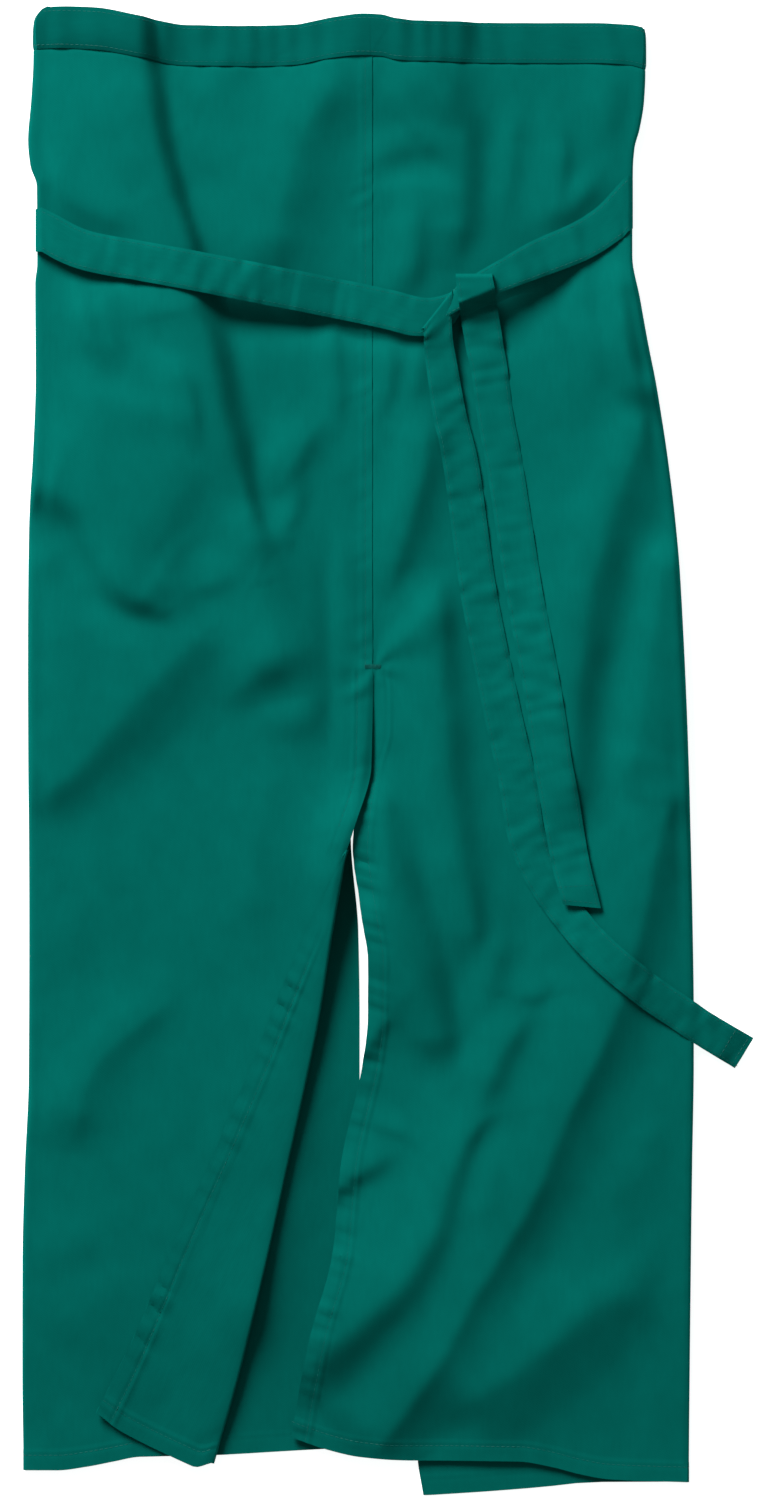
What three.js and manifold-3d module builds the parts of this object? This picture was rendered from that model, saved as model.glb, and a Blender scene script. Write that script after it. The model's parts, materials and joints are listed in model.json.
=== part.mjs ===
// Split-leg waist apron lying face up. Two cloth halves meet at a centre seam that opens into a split;
// each half runs from its front leg round a side fold to a wing underneath. A waistband closes the top,
// and two ties come round the sides into a half knot. Millimetres: +X right, +Y to the waist, +Z up.
import * as THREE from "three";
import { mergeVertices } from "three/addons/utils/BufferGeometryUtils.js";
import Module from "manifold-3d";

const wasm = await Module();
wasm.setup();

// Driving dimensions
const clothThickness = 1.2;
const bandThickness = 2.2;
const bandHeight = 25;
const tieThickness = 1.5;
const tieWidth = 24.6;
const pieceGap = 0.35;
const tieClearance = 0.8;
const knotX = 50;
const knotY = 280;
const knotReach = 34;
const knotRest = 9.7;
const frontHeight = 8.9;
const wingHeight = clothThickness / 2;
const wingLift = 2.6;
const wingLiftStart = 225;
const wingLiftEnd = 285;
const wingFallStart = 372;
const wingFallEnd = 420;
const wingBandHeight = bandThickness / 2;
const wingDrop = 2;
const seamHalfGap = 0.2;
const flapThickness = 1;
const flapLift = 2.6;
const creaseBulge = 1.9;
const creaseTop = -50;
const creaseFull = -70;
const underlapDip = 2.4;
const underlapX = [-12, -3];
const underlapY = [-105, -62, 40, 62];
const foldFadeStart = 5;
const foldFadeEnd = 30;

// Mesh counts
const wingColumns = 4;
const sideColumns = 5;
const frontColumns = 16;
const halfRows = 42;
const bandRows = 2;
const flapColumns = 5;
const rollColumns = 4;
const flapRows = 13;
const tieStep = 17;

const clothColour = new THREE.Color(0x006157);
const bandColour = new THREE.Color(0x005f55);
const tieColour = new THREE.Color(0x00665c);

// Outline of each half by height: outer side, inner edge of the front, inner edge of the wing
const leftOutline = [
  { y: 465, side: -213.5, inner: -9.75, wing: -26 },
  { y: 462.5, side: -217.8, inner: -9.75, wing: -26 },
  { y: 457.5, side: -220.8, inner: -9.75, wing: -26 },
  { y: 450, side: -221.6, inner: -9.75, wing: -26 },
  { y: 432, side: -221.8, inner: -9.75, wing: -26 },
  { y: 407.5, side: -223.1, inner: -9.75, wing: -26 },
  { y: 382.5, side: -225, inner: -9.75, wing: -26 },
  { y: 367, side: -223.6, inner: -9.75, wing: -26 },
  { y: 354, side: -219.5, inner: -9.75, wing: -26 },
  { y: 305, side: -219.4, inner: -9.75, wing: -26 },
  { y: 294, side: -220.6, inner: -9.75, wing: -26 },
  { y: 232.8, side: -220.3, inner: -9.75, wing: -26 },
  { y: 185, side: -221.9, inner: -9.75, wing: -26 },
  { y: 137.8, side: -224.6, inner: -9.75, wing: -26 },
  { y: 52.8, side: -225.1, inner: -9.75, wing: -25 },
  { y: -7.8, side: -224.8, inner: -10.6, wing: -24 },
  { y: -55.9, side: -224.5, inner: -23.75, wing: -23.2 },
  { y: -112.2, side: -224.4, inner: -34.4, wing: -18.6 },
  { y: -164, side: -224.1, inner: -42.5, wing: -17.8 },
  { y: -204, side: -224.7, inner: -50.6, wing: -18.1 },
  { y: -261, side: -227.2, inner: -63.1, wing: -18 },
  { y: -317, side: -228.6, inner: -75.5, wing: -18 },
  { y: -392, side: -228.8, inner: -93.75, wing: -18 },
  { y: -444, side: -228.2, inner: -108.75, wing: -18 },
];
const rightOutline = [
  { y: 465, side: 160, inner: -9.75, wing: -5 },
  { y: 452.5, side: 160.2, inner: -9.75, wing: -5 },
  { y: 437.5, side: 161, inner: -9.75, wing: -5 },
  { y: 425, side: 161, inner: -9.75, wing: -5 },
  { y: 407.5, side: 160.2, inner: -9.75, wing: -5 },
  { y: 390, side: 157.4, inner: -9.75, wing: -5 },
  { y: 378, side: 154.2, inner: -9.75, wing: -5 },
  { y: 365, side: 153.2, inner: -9.75, wing: -5 },
  { y: 310, side: 152.8, inner: -9.75, wing: -5 },
  { y: 282.5, side: 157.6, inner: -9.75, wing: -5 },
  { y: 257.5, side: 162.1, inner: -9.75, wing: -5 },
  { y: 232.5, side: 167.1, inner: -9.75, wing: -5 },
  { y: 207.5, side: 171, inner: -9.75, wing: -5 },
  { y: 182.5, side: 175.2, inner: -9.75, wing: -5 },
  { y: 157.5, side: 178.4, inner: -9.75, wing: -5 },
  { y: 132.5, side: 180.9, inner: -9.75, wing: -5 },
  { y: 82.5, side: 184.1, inner: -9.75, wing: -4 },
  { y: 52.8, side: 185.4, inner: -9.75, wing: -4 },
  { y: 15, side: 187.2, inner: -9.75, wing: -3 },
  { y: -10, side: 188, inner: -15.5, wing: -2 },
  { y: -40, side: 188.9, inner: -20.5, wing: 0 },
  { y: -59, side: 189.4, inner: -21.9, wing: 0 },
  { y: -85, side: 190, inner: -18.75, wing: 1 },
  { y: -106, side: 190.5, inner: -15.6, wing: 2 },
  { y: -130, side: 191, inner: -12.2, wing: 4 },
  { y: -165, side: 191.3, inner: -12.4, wing: 6 },
  { y: -193, side: 191.3, inner: -15.6, wing: 7 },
  { y: -257.8, side: 190.3, inner: -29.4, wing: 10 },
  { y: -311.6, side: 189.6, inner: -34.4, wing: 13 },
  { y: -365.3, side: 189.3, inner: -48.8, wing: 15 },
  { y: -441.6, side: 188.4, inner: -63.1, wing: 18.5 },
  { y: -465, side: 188.3, inner: -63.1, wing: 22.1 },
];

// Top edge of the waistband and the hems of fronts and wings
const topEdge = [
  { x: -220, y: 464.4 },
  { x: -208.8, y: 464.7 },
  { x: -184.4, y: 463.4 },
  { x: -150.6, y: 457.5 },
  { x: -126, y: 454 },
  { x: -90, y: 453.4 },
  { x: -59.4, y: 454 },
  { x: -35, y: 458.1 },
  { x: -16.6, y: 459.7 },
  { x: -4.4, y: 459 },
  { x: 5, y: 456.6 },
  { x: 16.9, y: 455.6 },
  { x: 123.8, y: 455.6 },
  { x: 151.3, y: 454.4 },
  { x: 160, y: 452.2 },
];
const leftFrontHem = [
  { x: -228.4, y: -449 },
  { x: -206.6, y: -449 },
  { x: -188.8, y: -446.9 },
  { x: -170.6, y: -443.4 },
  { x: -156.3, y: -440.6 },
  { x: -135, y: -439.7 },
  { x: -108.8, y: -444 },
];
const leftWingHem = [
  { x: -228.4, y: -449 },
  { x: -180, y: -442 },
  { x: -106.9, y: -439.7 },
  { x: -38.1, y: -436 },
  { x: -18, y: -435 },
];
const rightFrontHem = [
  { x: -63.1, y: -427.8 },
  { x: -52.5, y: -431.6 },
  { x: -38.1, y: -436 },
  { x: -16.9, y: -440.3 },
  { x: 18.8, y: -442.8 },
  { x: 81.3, y: -443.4 },
  { x: 102.5, y: -446.9 },
  { x: 120.6, y: -451.6 },
  { x: 138.8, y: -454.7 },
  { x: 188.8, y: -456.6 },
];
const rightWingHem = [
  { x: 22.1, y: -465 },
  { x: 58, y: -462.8 },
  { x: 93.8, y: -460 },
  { x: 129.7, y: -456.8 },
  { x: 188.8, y: -456.6 },
];

// The left leg's inner edge turned back over the front: crease and free edge, from the split to the hem
const flapTable = [
  { along: 0.02, creaseX: -24.9, creaseY: -63, freeX: -28.4, freeY: -64.4 },
  { along: 0.14, creaseX: -34.4, creaseY: -112.2, freeX: -49.1, freeY: -106.1 },
  { along: 0.28, creaseX: -42.5, creaseY: -164, freeX: -69, freeY: -153.7 },
  { along: 0.38, creaseX: -50.6, creaseY: -204, freeX: -83.6, freeY: -191 },
  { along: 0.52, creaseX: -63.1, creaseY: -261, freeX: -106.1, freeY: -243.7 },
  { along: 0.69, creaseX: -77.5, creaseY: -326, freeX: -132.9, freeY: -303.5 },
  { along: 0.86, creaseX: -93.8, creaseY: -392, freeX: -158.9, freeY: -365 },
  { along: 1, creaseX: -108.8, creaseY: -444, freeX: -182.5, freeY: -412.8 },
];

// How far the flap's hem bows out below a straight line, by share from the crease to the free edge
const flapBow = [
  { share: 0, drop: 0 },
  { share: 0.16, drop: 7 },
  { share: 0.5, drop: 6.4 },
  { share: 0.77, drop: 4.7 },
  { share: 1, drop: 0 },
];

// Main folds of the fronts: crest points, height, width of the slow rise (right of the direction of
// travel) and of the quick fall (left of it)
const foldTable = [
  { name: "bib left", high: 4.5, rise: 38, fall: 9, crest: [[-149, 432], [-135, 370], [-121, 314]] },
  { name: "bib middle", high: 3, rise: 24, fall: 15, crest: [[-33, 414], [-52, 389], [-64, 314]] },
  { name: "bib right", high: 3, rise: 20, fall: 10, crest: [[50, 426], [54, 389], [49, 314]] },
  { name: "below left strap", high: 5.5, rise: 25, fall: 10, crest: [[-115, 283], [-101, 220], [-82, 146]] },
  { name: "short slant", high: 3.5, rise: 13, fall: 9, crest: [[-44, 200], [-56, 182], [-75, 158]] },
  { name: "left hip", high: 4, rise: 30, fall: 15, crest: [[-143, 98], [-177, 133], [-205, 167]] },
  { name: "left thigh", high: 5, rise: 34, fall: 22, crest: [[-108, 78], [-136, 39], [-200, -11]] },
  { name: "left arch", high: 3.5, rise: 9, fall: 28, crest: [[-52, 25], [-71, 30], [-96, 14]] },
  { name: "left leg", high: 3, rise: 16, fall: 13, crest: [[-139, -158], [-168, -183], [-185, -223]] },
  { name: "right hip", high: 4, rise: 20, fall: 10, crest: [[158, 195], [136, 120], [129, 64], [123, -11]] },
  { name: "split side", high: 3.5, rise: 12, fall: 12, crest: [[-8, -23], [6, -61], [23, -123]] },
  { name: "right thigh", high: 4.5, rise: 18, fall: 11, crest: [[33, 70], [39, -5], [51, -111]] },
  {
    name: "right inner fold", high: 5.5, rise: 22, fall: 10,
    crest: [[83, -173], [51, -236], [33, -289], [4, -333], [-36, -364]],
  },
  {
    name: "right long fold", high: 6.5, rise: 27, fall: 12,
    crest: [[168, -30], [153, -120], [130, -186], [95, -267], [39, -364], [11, -411]],
  },
  { name: "right hem fold", high: 4, rise: 25, fall: 25, crest: [[145, -333], [95, -364], [39, -405]] },
  { name: "split edge fold", high: 3, rise: 13, fall: 9, crest: [[3, -252], [-27, -267], [-50, -286]] },
];

// Tie stretches in order. Plan centre, width as a share of the full width, and lift over what lies
// below; turn is the slant of the folded edge at a stretch's start and end, in degrees from +X.
const leftTieRuns = [
  {
    on: "floor", startTurn: 90, endTurn: 90,
    rows: [
      { x: 15, y: 311, wide: 1, lift: 0 },
      { x: -120, y: 318, wide: 1, lift: 0 },
      { x: -215.8, y: 326, wide: 1, lift: 0 },
    ],
  },
  {
    on: "front", startTurn: 90, endTurn: 40,
    rows: [
      { x: -215.8, y: 326, wide: 1, lift: 0 },
      { x: -190, y: 313.4, wide: 1, lift: 0 },
      { x: -153.1, y: 305.9, wide: 1, lift: 0 },
      { x: -83.1, y: 292.8, wide: 1, lift: 0 },
      { x: -28.8, y: 282.8, wide: 1, lift: 0 },
      { x: 20, y: 272.2, wide: 1, lift: 0 },
      { x: 54.2, y: 267, wide: 0.88, lift: 0 },
    ],
  },
  {
    on: "front", startTurn: 40, endTurn: 0,
    rows: [
      { x: 54.2, y: 267, wide: 0.88, lift: 1.9 },
      { x: 53.5, y: 295.5, wide: 0.92, lift: 1.9 },
    ],
  },
  {
    on: "front", startTurn: 0, endTurn: -6,
    rows: [
      { x: 53.5, y: 295.5, wide: 0.92, lift: 5.9 },
      { x: 56.3, y: 276.6, wide: 1, lift: 5.9 },
      { x: 59.6, y: 252, wide: 1, lift: 2.2 },
      { x: 62, y: 235, wide: 1, lift: 0.3 },
      { x: 65.9, y: 210.3, wide: 1, lift: 0 },
      { x: 72.5, y: 175.3, wide: 1, lift: 0 },
      { x: 84.4, y: 100.9, wide: 1, lift: 0 },
      { x: 95, y: 45.3, wide: 1, lift: 0 },
      { x: 100, y: 15, wide: 1, lift: 1 },
      { x: 102.5, y: -4.7, wide: 1, lift: 2.2 },
      { x: 106.9, y: -29.1, wide: 1, lift: 2.4 },
      { x: 113.8, y: -68.4, wide: 0.95, lift: 2.4 },
      { x: 120.9, y: -95.9, wide: 0.9, lift: 2.4 },
    ],
  },
];
const rightTieRuns = [
  {
    on: "floor", startTurn: 90, endTurn: 90,
    rows: [
      { x: -45, y: 346, wide: 1, lift: 0 },
      { x: 80, y: 346, wide: 1, lift: 0 },
      { x: 149.9, y: 343, wide: 1, lift: 0 },
    ],
  },
  {
    on: "front", startTurn: 90, endTurn: 51.7,
    rows: [
      { x: 149.9, y: 343, wide: 1, lift: 0 },
      { x: 126.3, y: 322.8, wide: 1, lift: 0.4 },
      { x: 98.8, y: 312.2, wide: 1, lift: 1.6 },
      { x: 76, y: 292.9, wide: 0.5, lift: 3.9 },
      { x: 53, y: 285.7, wide: 0.42, lift: 3.9 },
      { x: 31.3, y: 275.3, wide: 0.46, lift: 3.9 },
    ],
  },
  {
    on: "front", startTurn: 51.7, endTurn: 58,
    rows: [
      { x: 31.3, y: 275.3, wide: 0.68, lift: 2 },
      { x: 31, y: 257, wide: 0.72, lift: 2 },
      { x: 34.2, y: 243, wide: 0.9, lift: 0.4 },
      { x: 39, y: 210.3, wide: 1, lift: 0 },
      { x: 46.7, y: 175.3, wide: 1, lift: 0 },
      { x: 56.9, y: 100.9, wide: 1, lift: 0 },
      { x: 70, y: 32.8, wide: 1, lift: 0 },
      { x: 81, y: -18, wide: 1, lift: 0 },
      { x: 86, y: -50, wide: 0.95, lift: 0 },
      { x: 95, y: -74.7, wide: 0.9, lift: 0 },
      { x: 111.3, y: -99.7, wide: 0.86, lift: 0 },
      { x: 131.9, y: -123.4, wide: 0.86, lift: 0 },
      { x: 160, y: -147.2, wide: 0.88, lift: 0 },
      { x: 183, y: -163, wide: 0.88, lift: 0 },
      { x: 197.5, y: -172.8, wide: 0.88, lift: -1.5 },
      { x: 222.8, y: -188, wide: 0.9, lift: -6.4 },
    ],
  },
];

const { lerp, smoothstep, degToRad, mapLinear } = THREE.MathUtils;

// Straight-line reading of one column of a table at a value of its key column.
function readTable(rows, key, at, column) {
  const rising = rows[0][key] < rows[rows.length - 1][key];
  const ordered = rising ? rows : [...rows].reverse();
  const clamped = Math.min(Math.max(at, ordered[0][key]), ordered[ordered.length - 1][key]);
  const next = Math.max(1, ordered.findIndex((row) => row[key] >= clamped));
  const before = ordered[next - 1];
  const after = ordered[next];
  return mapLinear(clamped, before[key], after[key], before[column], after[column]);
}

// Height that one fold adds: an uneven bell across its crest, fading out at both ends.
function foldHeight(fold, x, y) {
  const spans = fold.crest.length - 1;
  let nearest = Infinity;
  let signed = 0;
  let along = 0;
  for (let i = 0; i < spans; i += 1) {
    const [ax, ay] = fold.crest[i];
    const [bx, by] = fold.crest[i + 1];
    const dx = bx - ax;
    const dy = by - ay;
    const share = THREE.MathUtils.clamp(((x - ax) * dx + (y - ay) * dy) / (dx * dx + dy * dy), 0, 1);
    const distance = Math.hypot(x - ax - dx * share, y - ay - dy * share);
    if (distance < nearest) {
      nearest = distance;
      signed = dx * (y - ay) - dy * (x - ax);
      along = (i + share) / spans;
    }
  }
  const width = signed > 0 ? fold.fall : fold.rise;
  const ends = smoothstep(along, 0, 0.3) * smoothstep(1 - along, 0, 0.3);
  return fold.high * ends * Math.exp(-((nearest / width) ** 2));
}

// Middle of the front cloth above the floor; the folds fade out towards the rounded sides.
function frontZ(x, y) {
  const leftSide = readTable(leftOutline, "y", y, "side");
  const rightSide = readTable(rightOutline, "y", y, "side");
  const inset = Math.min(x - leftSide, rightSide - x);
  const fade = smoothstep(inset, foldFadeStart, foldFadeEnd);
  return frontHeight + fade * foldTable.reduce((sum, fold) => sum + foldHeight(fold, x, y), 0);
}

// How far the right leg's inner edge dips to pass under the left leg's edge below the split's top.
function underlap(x, y) {
  const [low, lowFull, highFull, high] = underlapY;
  const across = 1 - smoothstep(x, underlapX[0], underlapX[1]);
  return underlapDip * across * smoothstep(y, low, lowFull) * (1 - smoothstep(y, highFull, high));
}

// Middle of a wing: flat on the floor below, raised at the waist where the ties cross underneath.
function wingZ(y) {
  const raised = lerp(wingHeight, wingLift, smoothstep(y, wingLiftStart, wingLiftEnd));
  return lerp(raised, wingBandHeight, smoothstep(y, wingFallStart, wingFallEnd));
}

// Inner edge of the left front, drawn in by the rolled crease below the split.
function innerEdge(outline, sign, y) {
  const edge = readTable(outline, "y", y, "inner");
  const drawnIn = sign < 0 ? creaseBulge * smoothstep(creaseTop - y, 0, creaseTop - creaseFull) : 0;
  return edge + sign * seamHalfGap - drawnIn;
}

// Point of a half's middle surface: wing columns, then the side fold, then front columns.
// sign is -1 for the left half and +1 for the right one.
function wrapPoint(outline, sign, column, y) {
  const side = readTable(outline, "y", y, "side");
  const topZ = frontZ(side - sign * foldFadeStart, y);
  const lowZ = wingZ(y);
  const radius = (topZ - lowZ) / 2;
  const axis = side - sign * (radius + clothThickness / 2);
  if (column < wingColumns) {
    const wing = readTable(outline, "y", y, "wing");
    return new THREE.Vector3(lerp(wing, axis, column / wingColumns), y, lowZ);
  }
  if (column <= wingColumns + sideColumns) {
    const angle = Math.PI * ((column - wingColumns) / sideColumns);
    const out = sign * radius * Math.sin(angle);
    return new THREE.Vector3(axis + out, y, lowZ + radius * (1 - Math.cos(angle)));
  }
  const share = (column - wingColumns - sideColumns) / frontColumns;
  const x = lerp(axis, innerEdge(outline, sign, y), share);
  return new THREE.Vector3(x, y, frontZ(x, y) - (sign > 0 ? underlap(x, y) : 0));
}

// Closed cloth wall of even thickness about a middle surface given by column and row counts.
function clothWall(surface, thickness, columns, rows) {
  const geometry = new THREE.BoxGeometry(1, 1, 1, columns, rows, 1);
  const place = geometry.attributes.position;
  const reach = 0.5;
  for (let i = 0; i < place.count; i += 1) {
    const column = (place.getX(i) + 0.5) * columns;
    const row = (place.getY(i) + 0.5) * rows;
    const across = surface(Math.min(column + reach, columns), row)
      .sub(surface(Math.max(column - reach, 0), row));
    const upward = surface(column, Math.min(row + reach, rows))
      .sub(surface(column, Math.max(row - reach, 0)));
    const normal = across.cross(upward).normalize();
    const point = surface(column, row).addScaledVector(normal, place.getZ(i) * thickness);
    place.setXYZ(i, point.x, point.y, point.z);
  }
  geometry.deleteAttribute("normal");
  geometry.deleteAttribute("uv");
  return outward(mergeVertices(geometry, 1e-4));
}

// Turns the triangles over where the mapping has left them facing in.
function outward(geometry) {
  const place = geometry.attributes.position;
  const index = geometry.index;
  const corner = [new THREE.Vector3(), new THREE.Vector3(), new THREE.Vector3()];
  let volume = 0;
  for (let i = 0; i < index.count; i += 3) {
    corner.forEach((point, k) => point.fromBufferAttribute(place, index.getX(i + k)));
    volume += corner[0].dot(corner[1].cross(corner[2])) / 6;
  }
  if (volume < 0) {
    for (let i = 0; i < index.count; i += 3) {
      const swap = index.getX(i + 1);
      index.setX(i + 1, index.getX(i + 2));
      index.setX(i + 2, swap);
    }
  }
  return geometry;
}

// One half: each column has its own hem and top height, shared out evenly over the rows.
function halfGeometry(outline, sign, frontHem, wingHem) {
  const columns = wingColumns + sideColumns + frontColumns;
  const surface = (column, row) => {
    const high = wrapPoint(outline, sign, column, 430).x;
    const low = wrapPoint(outline, sign, column, -440).x;
    const wingShare = THREE.MathUtils.clamp(1 - column / wingColumns, 0, 1);
    const hem = column < wingColumns ? wingHem : frontHem;
    const top = readTable(topEdge, "x", high, "y") - bandHeight - pieceGap - wingDrop * wingShare;
    const y = lerp(readTable(hem, "x", low, "y"), top, row / halfRows);
    return wrapPoint(outline, sign, column, y);
  };
  return clothWall(surface, clothThickness, columns, halfRows);
}

// The flap starts inside the front's edge, rolls over the crease and lies back over the front.
function flapGeometry() {
  const lastRow = flapTable[flapTable.length - 1];
  const rollRadius = flapLift / 2;
  const surface = (column, row) => {
    const along = lerp(flapTable[0].along, lastRow.along, row / flapRows);
    const read = (name) => readTable(flapTable, "along", along, name);
    const crease = new THREE.Vector2(read("creaseX") - creaseBulge, read("creaseY"));
    const free = new THREE.Vector2(read("freeX"), read("freeY"));
    const inward = free.clone().sub(crease).normalize();
    const base = frontZ(crease.x, crease.y);
    if (column < 1) {
      const start = crease.clone().addScaledVector(inward, 1 - column);
      return new THREE.Vector3(start.x, start.y, base);
    }
    if (column <= 1 + rollColumns) {
      const angle = Math.PI * ((column - 1) / rollColumns);
      const roll = crease.clone().addScaledVector(inward, -rollRadius * Math.sin(angle));
      return new THREE.Vector3(roll.x, roll.y, base + rollRadius * (1 - Math.cos(angle)));
    }
    const share = (column - 1 - rollColumns) / flapColumns;
    const over = crease.clone().lerp(free, share);
    over.y -= readTable(flapBow, "share", share, "drop") * smoothstep(along, 0.8, 1);
    return new THREE.Vector3(over.x, over.y, frontZ(over.x, over.y) + flapLift);
  };
  return clothWall(surface, flapThickness, 1 + rollColumns + flapColumns, flapRows);
}

function toSolid(geometry) {
  const vertProperties = new Float32Array(geometry.attributes.position.array);
  const triVerts = new Uint32Array(geometry.index.array);
  return new wasm.Manifold(new wasm.Mesh({ numProp: 3, vertProperties, triVerts }));
}

function toGeometry(solid) {
  const mesh = solid.getMesh();
  const geometry = new THREE.BufferGeometry();
  geometry.setAttribute("position", new THREE.BufferAttribute(mesh.vertProperties, 3));
  geometry.setIndex(new THREE.BufferAttribute(mesh.triVerts, 1));
  return geometry;
}

// The waistband follows the halves' own columns from one wing's inner edge to the other's.
function bandGeometry() {
  const columns = wingColumns + sideColumns + frontColumns;
  const surface = (column, row) => {
    const onLeft = column <= columns;
    const outline = onLeft ? leftOutline : rightOutline;
    const sign = onLeft ? -1 : 1;
    const fromEnd = onLeft ? column : 2 * columns - column;
    const wingShare = THREE.MathUtils.clamp(1 - fromEnd / wingColumns, 0, 1);
    const high = wrapPoint(outline, sign, fromEnd, 430).x;
    const top = readTable(topEdge, "x", high, "y") - wingDrop * wingShare;
    return wrapPoint(outline, sign, fromEnd, top - bandHeight * (1 - row / bandRows));
  };
  return clothWall(surface, bandThickness, 2 * columns, bandRows);
}

// Cross lines of one tie stretch: evenly spaced along the plan path, each turned square to the path
// except near the ends, where it comes round to the slant of the folded edge.
function tieRun(run) {
  const lengths = [0];
  run.rows.forEach((row, i) => {
    if (i > 0) {
      const before = run.rows[i - 1];
      lengths.push(lengths[i - 1] + Math.hypot(row.x - before.x, row.y - before.y));
    }
  });
  const total = lengths[lengths.length - 1];
  const rows = run.rows.map((row, i) => ({ ...row, s: lengths[i] }));
  const count = Math.max(2, Math.round(total / tieStep));
  const blend = Math.min(tieWidth * 1.1, total / 2);
  const sections = [];
  for (let i = 0; i <= count; i += 1) {
    const s = (total * i) / count;
    const x = readTable(rows, "s", s, "x");
    const y = readTable(rows, "s", s, "y");
    const ahead = Math.min(s + tieStep / 2, total);
    const behind = Math.max(s - tieStep / 2, 0);
    const dx = readTable(rows, "s", ahead, "x") - readTable(rows, "s", behind, "x");
    const dy = readTable(rows, "s", ahead, "y") - readTable(rows, "s", behind, "y");
    const heading = Math.atan2(dy, dx);
    const nearStart = 1 - smoothstep(s, 0, blend);
    const nearEnd = 1 - smoothstep(total - s, 0, blend);
    const startLean = leanFrom(heading, degToRad(run.startTurn)) * nearStart;
    const endLean = leanFrom(heading, degToRad(run.endTurn)) * nearEnd;
    const lean = startLean + endLean;
    const half = (tieWidth * readTable(rows, "s", s, "wide")) / 2 / Math.cos(lean);
    const angle = heading + Math.PI / 2 + lean;
    const acrossX = half * Math.cos(angle);
    const acrossY = half * Math.sin(angle);
    sections.push({ x, y, acrossX, acrossY, lift: readTable(rows, "s", s, "lift") });
  }
  setTieHeights(run, sections);
  return sections;
}

// Angle from the square cross line to a folded edge, kept within a quarter turn.
function leanFrom(heading, turn) {
  const lean = turn - heading - Math.PI / 2;
  return lean - Math.PI * Math.round(lean / Math.PI);
}

// A stretch on the front rests on the highest cloth below each cross line and bridges the dips.
function setTieHeights(run, sections) {
  if (run.on === "floor") {
    sections.forEach((section) => {
      section.z = tieThickness / 2;
    });
    return;
  }
  const shares = [-1, -0.5, 0, 0.5, 1];
  let rest = sections.map(({ x, y, acrossX, acrossY }) => {
    const under = shares.map((share) => frontZ(x + acrossX * share, y + acrossY * share));
    const byKnot = Math.hypot(x - knotX, y - knotY) < knotReach;
    return Math.max(...under, byKnot ? knotRest : 0);
  });
  for (let pass = 0; pass < 4; pass += 1) {
    rest = rest.map((z, i) => {
      const before = rest[Math.max(i - 1, 0)];
      const after = rest[Math.min(i + 1, rest.length - 1)];
      return Math.max(z, (before + after) / 2);
    });
  }
  const above = clothThickness / 2 + tieClearance + tieThickness / 2;
  sections.forEach((section, i) => {
    section.z = rest[i] + above + section.lift;
  });
}

// Half turn that carries a tie from the end of one stretch to the start of the next, above or below.
function tieRoll(from, to) {
  const radius = (to.z - from.z) / 2;
  const length = Math.hypot(from.acrossX, from.acrossY);
  const outX = from.acrossY / length;
  const outY = -from.acrossX / length;
  return [1, 2, 3].map((step) => {
    const angle = (Math.PI * step) / 4;
    const out = Math.abs(radius) * Math.sin(angle);
    const z = from.z + radius * (1 - Math.cos(angle));
    return { ...from, x: from.x + outX * out, y: from.y + outY * out, z };
  });
}

// A whole tie: its stretches joined by half turns. After each half turn the cross line is read the
// other way round, so that the same long edge stays on the same side.
function tieGeometry(runs) {
  const sections = [];
  runs.forEach((run) => {
    const next = tieRun(run);
    if (sections.length > 0) {
      const last = sections[sections.length - 1];
      const same = last.acrossX * next[0].acrossX + last.acrossY * next[0].acrossY > 0;
      next.forEach((section) => {
        section.acrossX *= same ? 1 : -1;
        section.acrossY *= same ? 1 : -1;
      });
      const forward = turnedForward(sections);
      sections.push(...tieRoll({ ...last, ...forward(last) }, next[0]).map((section) => ({
        ...section, acrossX: last.acrossX, acrossY: last.acrossY,
      })));
    }
    sections.push(...next);
  });
  const rows = sections.length - 1;
  const surface = (column, row) => {
    const low = Math.min(Math.floor(row), rows - 1);
    const share = row - low;
    const a = sections[low];
    const b = sections[low + 1];
    const across = column - 1;
    const x = lerp(a.x + a.acrossX * across, b.x + b.acrossX * across, share);
    const y = lerp(a.y + a.acrossY * across, b.y + b.acrossY * across, share);
    return new THREE.Vector3(x, y, lerp(a.z, b.z, share));
  };
  return clothWall(surface, tieThickness, 2, rows);
}

// Gives the cross line of a section turned so that its right-hand normal points along the path.
function turnedForward(sections) {
  const last = sections[sections.length - 1];
  const before = sections[sections.length - 2];
  const along = (last.x - before.x) * last.acrossY - (last.y - before.y) * last.acrossX;
  const sign = along > 0 ? 1 : -1;
  return (section) => ({ acrossX: section.acrossX * sign, acrossY: section.acrossY * sign });
}

function addPiece(group, name, geometry, colour) {
  const material = new THREE.MeshStandardMaterial({ color: colour, roughness: 0.85, metalness: 0 });
  const mesh = new THREE.Mesh(geometry, material);
  mesh.name = name;
  group.add(mesh);
}

const leftBody = toSolid(halfGeometry(leftOutline, -1, leftFrontHem, leftWingHem));
const leftHalf = toGeometry(leftBody.add(toSolid(flapGeometry())));
const rightHalf = halfGeometry(rightOutline, 1, rightFrontHem, rightWingHem);

const apron = new THREE.Group();
apron.name = "split_leg_apron";
addPiece(apron, "left_half", leftHalf, clothColour);
addPiece(apron, "right_half", rightHalf, clothColour);
addPiece(apron, "waistband", bandGeometry(), bandColour);
addPiece(apron, "tie_left", tieGeometry(leftTieRuns), tieColour);
addPiece(apron, "tie_right", tieGeometry(rightTieRuns), tieColour);

export default apron;
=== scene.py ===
import json

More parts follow.
